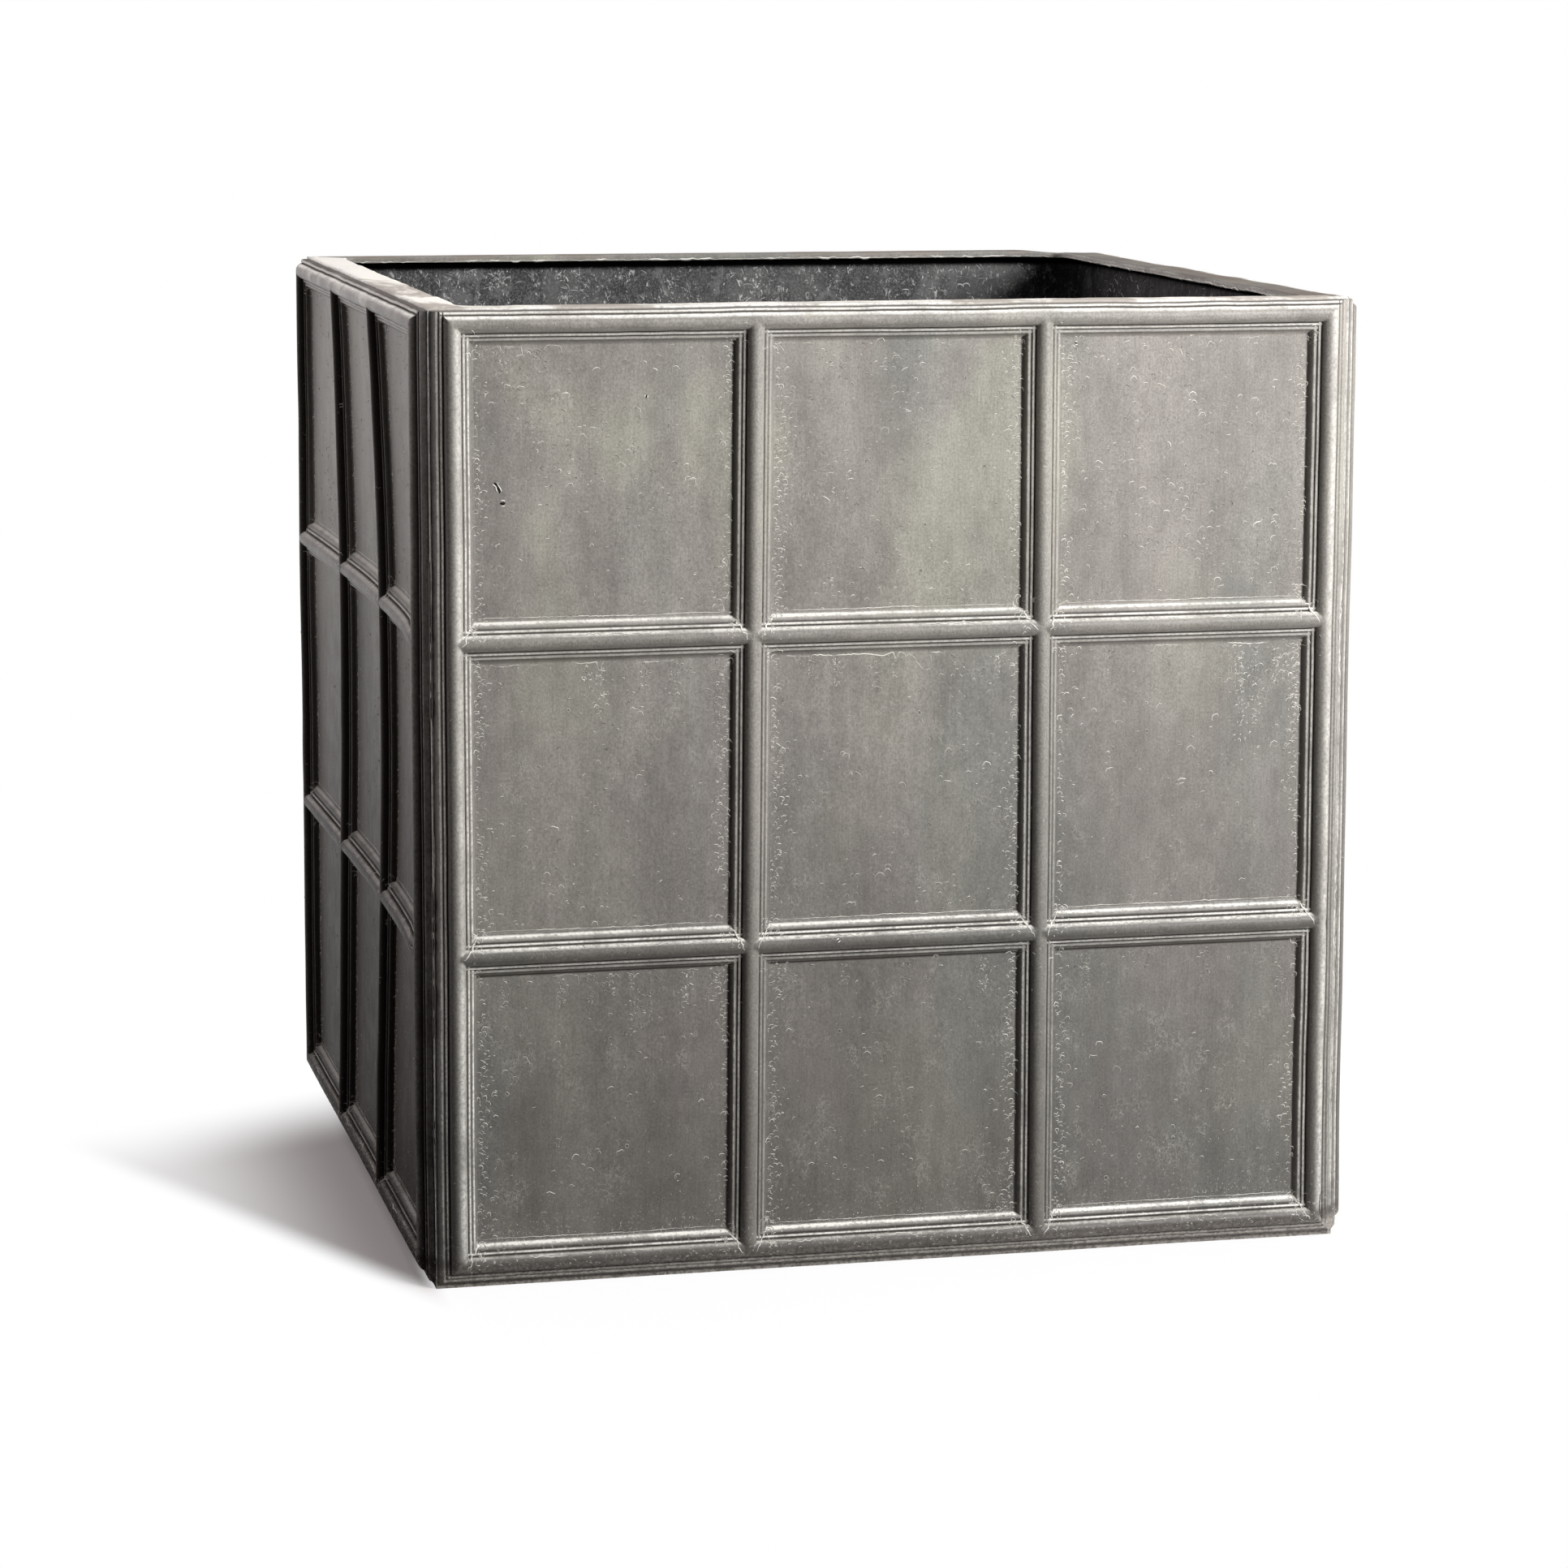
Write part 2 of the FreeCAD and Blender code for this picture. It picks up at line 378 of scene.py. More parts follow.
def leaned(side, s, z):
    """Where a place on the true panel lies along the side once its uprights lean."""
    up = np.clip(z / body_height, 0, 1)
    shifts = [low + (high - low) * up for low, high in upright_leans[side]]
    bends = np.zeros_like(s)
    edge = rib_edge + foot_line
    for i in range(grid_count):
        a, b = upright_places[i] + edge, upright_places[i + 1] - edge
        share = np.clip((s - a) / (b - a), 0, 1)
        inside = (s > upright_places[i]) & (s <= upright_places[i + 1])
        bends = np.where(inside, shifts[i] + (shifts[i + 1] - shifts[i]) * share, bends)
    return s + bends


def placed(side, s, d, z):
    """World points for places along a side, out of it and up it, settled and kept in the box."""
    along, out = side_frame(side)
    s, d, z = (np.asarray(v, float).ravel() for v in (s, d, z))
    flat = np.outer(s, along) + np.outer(half_body + d, out)
    return kept_inside(settled(np.column_stack([flat, z])))


# Meshes

def new_piece(name, points, faces, chart, materials, replaces=(), smooth_angle=None):
    """Adds a mesh. chart gives each face corner's place on the map that its colours are drawn on."""
    mesh = bpy.data.meshes.new(name)
    mesh.from_pydata(np.asarray(points).tolist(), [], faces)
    layer = mesh.uv_layers.new(name="OFBake")
    layer.data.foreach_set("uv", np.asarray(chart, np.float32).ravel())
    for material in materials:
        mesh.materials.append(material)
    if smooth_angle:
        mesh.shade_smooth()
        mesh.set_sharp_from_angle(angle=math.radians(smooth_angle))
    piece = bpy.data.objects.new(name, mesh)
    bpy.context.scene.collection.objects.link(piece)
    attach(piece, "root")
    if replaces:
        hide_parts(*replaces)
    return piece


def add_share(piece, name, *values):
    layer = piece.data.attributes.new(name, "FLOAT", "POINT")
    layer.data.foreach_set("value", np.concatenate([part.ravel() for part in values]).astype(np.float32))


def grid_faces(rows, columns):
    j, i = np.meshgrid(np.arange(rows - 1), np.arange(columns - 1), indexing="ij")
    a = j * columns + i
    return np.stack([a, a + 1, a + columns + 1, a + columns], -1).reshape(-1, 4)


def painted_shade_share(side, s, z):
    """Painted shade on a side: only on the left side, most at its foot and towards the front."""
    if side != "left":
        return s * 0
    up = np.clip(z / body_height, 0, 1)
    kept = 0.40 + 0.72 * up ** 1.7 - 0.15 * (0.4 + 0.7 * up) * s / half_body
    return np.clip(1 - kept, 0, 0.6)


def run_lengths(along, out):
    """Shares, from 0 to 1, of the way along a line of places that also rises and falls."""
    run = np.concatenate([[0], np.cumsum(np.hypot(np.diff(along), np.diff(out)))])
    return run / run[-1]


# Shares of the chart's height: cap strips, outside, join strips, inside
cap_top_share, outside_foot_share, outside_top_share = 0.018, 0.035, 0.8
inside_foot_share, inside_top_share, join_share = 0.825, 0.98, 0.01

# Hand-laid resin inside: height and length of its lumps, and where they fade out
lump_waves = [(0.7 * mm, 21 * mm), (0.35 * mm, 8 * mm)]
lump_room = 12 * mm

# Plain rim above the ledge: height, distance out, dark wash and rubbed paint of its rows
rim_edge_radius = 0.7 * mm
rim_rows = [(rim_ledge_height, 0.0, 0.5, 0), (body_height - rim_edge_radius, 0.0, 0, 0.95),
            (body_height, -rim_edge_radius, 0, 0.95)]
# Rows over the lip, under it and on the foot return
lip_row_shares = (0.2, 0.45, 0.7, 0.9, 0.985)
lip_edge_heights = (body_height - rim_edge_radius, body_height - 0.5 * sheet_thickness, lip_underside)
under_lip_shares = (0.35, 0.7)
inside_row_count = 110
foot_rows = [(0.5, sheet_thickness), (1.0, sheet_thickness), (1.0, 0.0), (0.5, 0.0)]
# Pale worn paint of the top of each side's lip, made a painted highlight on the left lip; pale worn paint of
# its edge; and painted shade that darkens the top of the right and back lips
lip_wear_and_light_shares = {"front": 0.76, "right": 0.1, "back": 0.12, "left": 1.9}
lip_edge_shares = {"front": 0.5, "right": 0.9, "back": 0.0, "left": 0.5}
lip_painted_shade_shares = {"front": 0.0, "right": 0.48, "back": 0.3, "left": 0.0}
# The inside shares the outside's edge points: every third one, and all those near a corner
coarse_step = 3
end_column_count = 12
# Heights over the sheet at which painted shade darkens the left side's uprights
upright_painted_shade_range = (1.5 * mm, 5 * mm)


def inside_lumps(side, s, z):
    """How far the hand-laid resin inside stands off the sheet, lumpy but flat at its edges."""
    spots = np.stack([s, s * 0 + SIDES.index(side), z], -1)
    lumps = waves(spots, lump_waves, 31, 1) * smooth(1.0, 0.97, np.abs(s) / inner_half)
    return lumps * smooth(0, lump_room, np.minimum(lip_underside - z, z - sheet_thickness))


def outer_layers(side, columns):
    """Places along and up the outside, its relief and its shares, with the plain rim on top."""
    s, z = np.meshgrid(columns, grid_lines(rail_heights, 0.0, rim_ledge_height))
    layers = [s, z, *relief(s, z, side)]
    for row in rim_rows:
        values = (columns, *(np.full_like(columns, value) for value in (*row, 1)))
        layers = [np.vstack(pair) for pair in zip(layers, values)]
    return layers


def outer_shares(columns, ups):
    """Places on the chart across and up the outside, by their run over the ribs."""
    across = run_lengths(columns, relief(columns, np.full_like(columns, body_height / 2))[0])
    upward = run_lengths(ups, relief(np.zeros_like(ups), np.minimum(ups, rim_ledge_height))[0])
    return across, outside_foot_share + upward * (outside_top_share - outside_foot_share)


def split_crossings(quads, s, z):
    """Faces in batches. On the crossings each is split along the mitre."""
    middle_s = nearest(s, upright_places).ravel()[quads].mean(1)
    middle_z = nearest(z, rail_heights).ravel()[quads].mean(1)
    crossing = (np.abs(middle_s) < rib_edge) & (np.abs(middle_z) < rib_edge)
    rising = middle_s * middle_z > 0
    up_split = quads[crossing & rising]
    down_split = quads[crossing & ~rising]
    return [quads[~crossing], up_split[:, [0, 1, 2]], up_split[:, [0, 2, 3]],
            down_split[:, [0, 1, 3]], down_split[:, [1, 2, 3]]]


def lip_opening(share):
    """The lip's inner edge, with its rounded corners, for shares of the way along the side."""
    round_start = lip_half - rim_corner_radius
    reach = np.abs(share) * lip_half
    turn = np.clip((reach - round_start) / rim_corner_radius, 0, 1) * math.pi / 4
    rounded = reach > round_start
    s = np.where(rounded, round_start + rim_corner_radius * np.sin(turn), reach) * np.sign(share)
    return s, np.where(rounded, -rim_lip_width - rim_corner_radius * (1 - np.cos(turn)), -rim_lip_width)


def inner_rows(side, places):
    """Rows over the lip, down the inside and round the foot return, and the zone that each lies in."""
    share = places / half_body
    edge_s, edge_d = lip_opening(share)
    inside_s = share * inner_half
    rows = [(places * (1 - t) + edge_s * t, edge_d * t, body_height, "lip") for t in lip_row_shares]
    rows += [(edge_s, edge_d, up, "edge") for up in lip_edge_heights]
    for t in under_lip_shares:
        rows.append((edge_s * (1 - t) + inside_s * t, edge_d * (1 - t) - sheet_thickness * t, lip_underside,
                     "inside"))
    for up in np.linspace(lip_underside, sheet_thickness, inside_row_count):
        lumps = inside_lumps(side, inside_s, np.full_like(share, up))
        rows.append((inside_s, -sheet_thickness - lumps, up, "inside"))
    for width_share, up in foot_rows:
        d = -width_share * foot_return_width
        rows.append((share * (half_body + d), d, up, "inside"))
    s, d, z = (np.array([np.ones_like(share) * row[i] for row in rows]) for i in range(3))
    return s, d, z, [row[3] for row in rows]


def wall_piece(side, shell, inner):
    """A moulded side: the ribbed outside, the rim lip, the rough inside and the foot return."""
    columns = grid_lines(upright_places, -half_body, half_body)
    s, z, height, groove_wash_and_shade, rubbed_and_highlit, rail = outer_layers(side, columns)
    row_count, column_count = s.shape
    across, upward = outer_shares(columns, z[:, 0])
    outer_chart = np.stack(np.meshgrid(across, upward), -1).reshape(-1, 2)
    outer_points = placed(side, leaned(side, s, z), height, z)
    faces, chart = [], []
    for batch in split_crossings(grid_faces(row_count, column_count), s, z):
        faces += batch.tolist()
        chart.append(outer_chart[batch.ravel()])
    outer_face_count = len(faces)

    coarse = np.unique(np.r_[0:column_count:coarse_step, column_count - 1,
                             0:end_column_count, column_count - end_column_count:column_count])
    inner_s, inner_d, inner_z, zones = inner_rows(side, columns[coarse])
    inner_row_count, count = inner_s.shape
    start = row_count * column_count
    downward = run_lengths(inner_d[:, count // 2], inner_z[:, count // 2])
    downward = inside_foot_share + downward * (inside_top_share - inside_foot_share)
    inner_chart = np.stack(np.meshgrid(across[coarse], downward), -1).reshape(-1, 2)
    quads = grid_faces(inner_row_count, count)
    faces += (quads + start).tolist()
    chart.append(inner_chart[quads.ravel()])
    face_zones = np.repeat(zones[1:], count - 1).tolist()

    def add_face(ring, spots, zone, turned):
        faces.append(ring[::-1] if turned else ring)
        chart.append(np.array(spots[::-1] if turned else spots))
        face_zones.append(zone)

    # Strips that join the outside's rim and foot to the wider inside, cell by cell
    foot_edge = np.arange(column_count)
    top_edge = foot_edge + (row_count - 1) * column_count
    last_row = start + (inner_row_count - 1) * count
    for dense, wide, low, zone, turned in (
            (top_edge, start, outside_top_share, "lip", False),
            (foot_edge, last_row, outside_foot_share - join_share, "inside", True)):
        for k in range(count - 1):
            cell = np.arange(coarse[k], coarse[k + 1] + 1)
            spots = [(across[i], low) for i in cell]
            spots += [(across[coarse[end]], low + join_share) for end in (k + 1, k)]
            add_face(dense[cell].tolist() + [wide + k + 1, wide + k], spots, zone, turned)
    # Mitred ends
    for column, wide, left_share, turned in ((0, 0, 0.0, True), (column_count - 1, count - 1, 0.5, False)):
        ring = [column + j * column_count for j in range(row_count)]
        ring += [start + wide + j * count for j in range(inner_row_count)]
        outs = np.concatenate([height[:, column], inner_d[:, wide]]) + foot_return_width
        ups = np.concatenate([z[:, column], inner_z[:, wide]])
        spots = np.column_stack([left_share + 0.49 * ups / body_height,
                                 cap_top_share * outs / (foot_return_width + relief_height)])
        add_face(ring, spots, "inside", turned)

    points = np.vstack([outer_points, placed(side, inner_s, inner_d, inner_z)])
    piece = new_piece(side + "_wall", points, faces, np.vstack(chart), [shell, inner],
                      [side + "_wall_panel"], 50)
    inside = np.zeros(len(faces), np.int32)
    inside[outer_face_count:] = [zone == "inside" for zone in face_zones]
    piece.data.polygons.foreach_set("material_index", inside)

    def by_zone(lip, edge):
        return np.repeat([{"lip": lip, "edge": edge}.get(zone, 0.0) for zone in zones], count)

    # The lips' pale paint, which on the left lip is also a painted highlight
    lip_worn_and_lit = by_zone(lip_wear_and_light_shares[side], lip_edge_shares[side])
    add_share(piece, "groove_wash_and_shade", groove_wash_and_shade, 0 * lip_worn_and_lit)
    add_share(piece, "rubbed_and_highlit", rubbed_and_highlit, lip_worn_and_lit)
    add_share(piece, "rib", np.clip(height / relief_height, 0, 1), lip_worn_and_lit)
    add_share(piece, "rail", rail, 0 * lip_worn_and_lit)
    # Painted shade: the left side darker towards its foot and front, its uprights darker still, and the right
    # and back lips darker
    painted_shade = painted_shade_share(side, s, z)
    if side == "left":
        upright = smooth(*upright_painted_shade_range, height) * (rail < 0.5) * (s < outer_rib_place - rib_edge)
        painted_shade = np.maximum(painted_shade, 0.5 * upright)
    add_share(piece, "painted_shade", painted_shade, by_zone(lip_painted_shade_shares[side], 0.6 * lip_painted_shade_shares[side]))


def tube_faces(tubes, stations, corners, closed=False):
    """Faces of tubes whose points run tube by tube, station by station, round each section.

    Each face comes with its corners' shares along and round the tube."""
    ends = stations if closed else stations - 1
    tube, i, k = (g.ravel() for g in np.meshgrid(np.arange(tubes), np.arange(ends), np.arange(corners),
                                                 indexing="ij"))
    first = tube * stations * corners
    ahead, beside = (i + 1) % stations, (k + 1) % corners
    faces = np.stack([first + i * corners + k, first + ahead * corners + k,
                      first + ahead * corners + beside, first + i * corners + beside], -1)
    along = np.stack([i, i + 1, i + 1, i], -1) / ends
    around = np.stack([k, k, k + 1, k + 1], -1) / corners
    return faces, np.stack([along, around], -1), tube


def cell_chart(spots, cell, cells):
    """Places charts of many small tubes in rows of equal cells."""
    side_count = math.ceil(math.sqrt(cells))
    gap = 0.06
    inside = gap + spots * (1 - 2 * gap)
    column, row = cell % side_count, cell // side_count
    return (inside + np.stack([column, row], -1)[:, None, :]) / side_count


# Raised flecks, rings, dots and runs of the patina

# A bead's section, and across it how pale it is: painted shade along its lower edge and a painted highlight
# on its upper side
bead_section = np.array([(-1.6, -0.6), (-0.7, 0.3), (0.1, 0.65), (1.0, -0.6)])
bead_light_shares = [0.0, 0.3, 1.0, 1.0]
lip_bead_height = body_height - 0.25 * mm


def panel_boxes():
    """Column, row, lowest and highest s and z of each flat panel."""
    for row in range(grid_count):
        for column in range(grid_count):
            yield (column, row, upright_places[column] + rib_edge, upright_places[column + 1] - rib_edge,
                   rail_heights[row] + rib_edge, rail_heights[row + 1] - rib_edge)


def drawn_lines(middles, widths, heights, tilts, sweep, stations, closed=False):
    """Short curved lines: part of an ellipse each, tilted, sweep half turns long."""
    share = np.linspace(0, 1, stations, endpoint=not closed)
    angle = math.pi * (0.5 + sweep * (0.5 - share))
    x = 0.5 * widths[:, None] * np.cos(angle)
    z = heights[:, None] * np.sin(angle)
    turn, lean = np.cos(tilts)[:, None], np.sin(tilts)[:, None]
    return middles[:, None] + np.stack([turn * x - lean * z, lean * x + turn * z], -1)


def laid(side, s, z, out, lay):
    """World points of beads that stand out from the panels, the inside, the lip's edge or its top."""
    if lay == "panel":
        return placed(side, leaned(side, s, z), relief(s, z)[0] + out, z)
    if lay == "inside":
        return placed(side, s, -sheet_thickness - inside_lumps(side, s, z) - out, z)
    if lay == "edge":
        return placed(side, s, -rim_lip_width - out, z)
    return placed(side, s, z - half_body, lip_bead_height + out)


def beads(side, paths, radii, strengths, closed=False, tapered=True, lay="panel"):
    """Beads along paths of (s, z) on a side: points, faces, chart spots, tube of each face, and how pale each
    point is, with painted shade below and a painted highlight above.
    """
    paths = np.asarray(paths, float)
    count, stations = paths.shape[:2]
    if closed:
        ahead = np.roll(paths, -1, 1) - np.roll(paths, 1, 1)
    else:
        ahead = np.gradient(paths, axis=1)
    ahead /= np.maximum(np.linalg.norm(ahead, axis=2, keepdims=True), 1e-9)
    across = np.stack([-ahead[..., 1], ahead[..., 0]], -1)
    radii = np.asarray(radii, float).reshape(count, -1) * np.ones((1, stations))
    if tapered and not closed:
        radii = radii * (0.3 + 0.7 * np.sin(math.pi * np.linspace(0, 1, stations)) ** 0.6)
    place = paths[:, :, None] + across[:, :, None] * (radii[..., None] * bead_section[:, 0])[..., None]
    s, z = place[..., 0], place[..., 1]
    points = laid(side, s, z, radii[..., None] * bead_section[:, 1], lay)
    corners = len(bead_section)
    faces, spots, tube = tube_faces(count, stations, corners, closed)
    wear_and_light = np.ones((count, stations, 1)) * np.array(bead_light_shares)
    wear_and_light = wear_and_light * np.asarray(strengths, float).reshape(count, 1, 1)
    # On the left side its painted shade darkens the flecks too
    if side == "left" and lay == "panel":
        wear_and_light = wear_and_light * (1 - painted_shade_share(side, s, z))
    if not closed:
        ring = np.arange(corners)
        first = np.arange(count)[:, None] * stations * corners + ring
        last = first + (stations - 1) * corners
        sliver = 0.04 * (bead_section[:, 1] + 1)
        ends = [np.stack([-sliver, ring / corners], -1), np.stack([1 + sliver, ring / corners], -1)[::-1]]
        faces = np.vstack([faces, first, last[:, ::-1]])
        spots = np.concatenate([spots, *(np.tile(end, (count, 1, 1)) for end in ends)])
        tube = np.concatenate([tube, np.arange(count), np.arange(count)])
    return points, faces, spots, tube, wear_and_light.ravel()


# Runs of thick patina below the front's rails, by panel (column, row): start, end and thickness, as shares
# of the panel's width and of the thickest run
front_run_shares = {
    (0, 1): [(0.03, 0.25, 0.6), (0.39, 0.51, 0.9), (0.63, 0.78, 0.7)],
    (1, 1): [(0.06, 0.54, 1.0), (0.64, 0.70, 0.8)],
    (2, 1): [(0.69, 0.86, 1.0), (0.36, 0.50, 0.6)],
    (0, 0): [(0.30, 0.46, 0.5), (0.80, 0.88, 0.6)],
    (0, 2): [(0.05, 0.36, 0.6)],
    (1, 2): [(0.04, 0.20, 0.4)],
    (2, 2): [(0.70, 0.90, 0.4)],
}
# Curtains of small wisps that hang from the runs: middle across the panel, length in mm, strength
front_curtains = {
    (0, 1): [(0.49, 34, 0.8), (0.43, 14, 0.9), (0.66, 24, 0.6), (0.78, 22, 0.6), (0.95, 40, 0.5)],
    (1, 1): [(0.16, 16, 0.5), (0.26, 18, 0.7), (0.42, 22, 0.6), (0.50, 14, 0.6), (0.74, 8, 0.6),
             (0.92, 22, 0.8)],
    (2, 1): [(0.745, 62, 1.0), (0.81, 52, 0.8), (0.90, 26, 0.8), (0.97, 54, 0.8), (0.22, 26, 0.4),
             (0.45, 12, 0.5)],
    (0, 0): [(0.34, 20, 0.7), (0.45, 28, 0.5), (0.53, 14, 0.6), (0.62, 40, 0.6), (0.68, 28, 0.5),
             (0.83, 28, 0.8), (0.10, 22, 0.6), (0.94, 20, 0.5)],
    (1, 0): [(0.06, 22, 0.5), (0.30, 14, 0.5), (0.55, 18, 0.4), (0.86, 26, 0.6)],
    (2, 0): [(0.12, 30, 0.5), (0.38, 12, 0.4), (0.62, 20, 0.5), (0.93, 32, 0.6)],
    (0, 2): [(0.12, 24, 0.6), (0.25, 18, 0.5)],
}
# On the other sides: least and most share across the panel, length in mm and strength
curtain_ranges = [(0.03, 0.97), (8, 40), (0.4, 0.9)]
# The pocket of a sagging run on the front's middle panel: share across the panel, mm below the rail, then mm
pocket_places = np.array([(0.55, 2.0), (0.565, 3.6), (0.575, 4.8), (0.578, 6.6), (0.592, 9.0), (0.60, 11.0),
                          (0.612, 12.6), (0.63, 12.2), (0.642, 11.4), (0.640, 8.0), (0.641, 5.0),
                          (0.635, 2.8)])
pocket_thickness = 0.26
# A drip: shares of its width and of its drop, then the least and most of both in mm
drip_shares = ((0, 0), (0.1, 0.6), (0.3, 1), (0.55, 0.9), (0.7, 0.95), (0.85, 0.4), (1, 0))
drip_widths, drip_drops = (1.8, 4.5), (1.5, 6)
drip_gap = 0.8 * mm
run_step = 0.9 * mm
run_waves = [(1.2 * mm, 10 * mm), (0.7 * mm, 3.1 * mm)]
run_drop = 2.4 * mm
run_thickness_wave = 5 * mm
# Nicks and pits: place along and up the side, length, width, tilt in degrees
pits = {
    "front": [(-253.6, 501.4, 7.6, 2.0, -62), (-249.8, 491.6, 3.0, 2.6, 0), (115.5, 584.7, 1.6, 1.3, 0),
              (287.1, 22.3, 19.0, 0.9, 90), (294.0, 399.1, 15.0, 0.6, 90), (287.1, 208.5, 9.5, 0.6, 90),
              (-160.6, 556.0, 1.8, 1.1, 80), (-38.0, 212.0, 2.0, 1.1, 30)],
    "right": [(-120.0, 333.0, 4.6, 1.4, 50), (210.0, 478.0, 2.2, 1.7, 0), (36.0, 141.0, 2.6, 1.4, 20)],
    "back": [(88.0, 421.0, 3.8, 1.3, 110), (-196.0, 250.0, 2.2, 1.7, 0), (-60.0, 545.0, 1.8, 1.4, 0)],
    "left": [(150.0, 372.0, 4.2, 1.3, 70), (-88.0, 520.0, 2.0, 1.5, 0), (40.0, 96.0, 2.4, 1.4, 0)],
}
fleck_rows = ["flecks_foot_row", "flecks_middle_row", "flecks_top_row"]
# Strokes on the panels of each row, from the foot up, as a share of the top row's
stroke_shares = [0.5, 0.8, 1.3]
# Kinds of stroke: least and most width and strength, middle and spread of the tilt, stations
stroke_kinds = {
    "faint": (0.8 * mm, 3.4 * mm, 0.3, 0.8, 0.12, 0.4, 5),
    "clear": (1.6 * mm, 5.6 * mm, 0.8, 1.3, 0.12, 0.4, 7),
    "upright": (1.4 * mm, 3.8 * mm, 0.55, 1.3, 0.0, 0.55, 6),
    "corner": (1.2 * mm, 4.5 * mm, 0.6, 1.1, 0.0, 0.8, 7),
    "wisp": (0.8 * mm, 3.2 * mm, 0.6, 1.5, 0.5, 0.7, 6),
    "mitre": (0.8 * mm, 3.6 * mm, 0.7, 1.4, 0.0, 0.9, 7),
}
# Kinds of speck: least and most width, radius and strength in mm, greatest tilt, roundness, stations
speck_kinds = {
    "dot": ((0.3, 0.9), (0.28, 0.55), (0.5, 1.5), 3, 0, 3),
    "grime": ((0.4, 2.8), (0.15, 0.34), (0.2, 1), 0.5, 0.5, 4),
    "chip": ((0.6, 2.6), (0.15, 0.3), (0.4, 1), 3, 0.5, 4),
}
cloud_size = 36 * mm
upright_wave = 45 * mm
panel_inset = 1 * mm
ring_inset = 6 * mm
wisp_drop = 3 * mm
mitre_inset = 14 * mm
mitre_chip_place = np.array([13 * mm, 6 * mm])
half_pit_length = 8.0
pit_rim_radius = 0.6 * mm
seam_setback = 0.9 * mm
# Ragged lines: margin at both ends and step, or start, end and step, and the lengths of their waves
foot_line_steps = (2 * mm, 0.9 * mm)
foot_line_sizes = (2.7 * mm, 23 * mm, 9 * mm)
edge_line_steps = (3 * mm, 1.2 * mm)
edge_line_sizes = (2.8 * mm, 19 * mm, 8 * mm)
rail_paint_steps = (mitre_inset, 0.8 * mm)
rail_paint_sizes = (2.5 * mm, 14 * mm, 11 * mm)
seam_steps = (20 * mm, body_height - 25 * mm, 1.6 * mm)
seam_sizes = (34 * mm, 9 * mm, 5 * mm)
filler_steps = (1.5 * mm, rim_lip_width + 1 * mm, 0.9 * mm)
filler_sizes = (4 * mm, 3 * mm)
resin_step = 1.1 * mm
resin_sizes = (6 * mm, 2.3 * mm, 8 * mm)
speck_inset = 3 * mm
chip_inset = 4 * mm
chip_top = rim_ledge_height - 2 * mm


def steps_between(low, high, margin, step):
    return np.arange(low + margin, high - margin, step)


def spread_places(dice, side, low, high, tries, cluster_weight, base):
    """Places in a box of the panel, in clusters."""
    spots = dice.uniform(low, high, (tries, 2))
    cloud = noise(np.column_stack([spots, np.full(tries, SIDES.index(side))]), cloud_size, 41)
    chance = base + cluster_weight * smooth(0.0, 0.55, cloud)
    return spots[dice.uniform(0, 1, tries) < chance]


def run_path(dice, low_s, high_s, level):
    """The lower edge of a run: a scalloped line, now and then with a drip."""
    path = []
    s = low_s
    seed = int(dice.integers(1000))
    (long_depth, long_size), (short_depth, short_size) = run_waves
    while s < high_s:
        wave = long_depth * line_noise(s, long_size, seed)
        wave += short_depth * abs(line_noise(s, short_size, seed + 1))
        if dice.uniform() < 0.05:
            width, drop = dice.uniform(*drip_widths) * mm, dice.uniform(*drip_drops) * mm
            for x, fall in drip_shares:
                shift = 0.12 * dice.uniform(-1, 1) * (0 < x < 1)
                path.append((s + (x + shift) * width, level + float(wave) - fall * drop))
            s += width + drip_gap
        else:
            path.append((s, level + float(wave)))
            s += run_step
    return np.array(path)


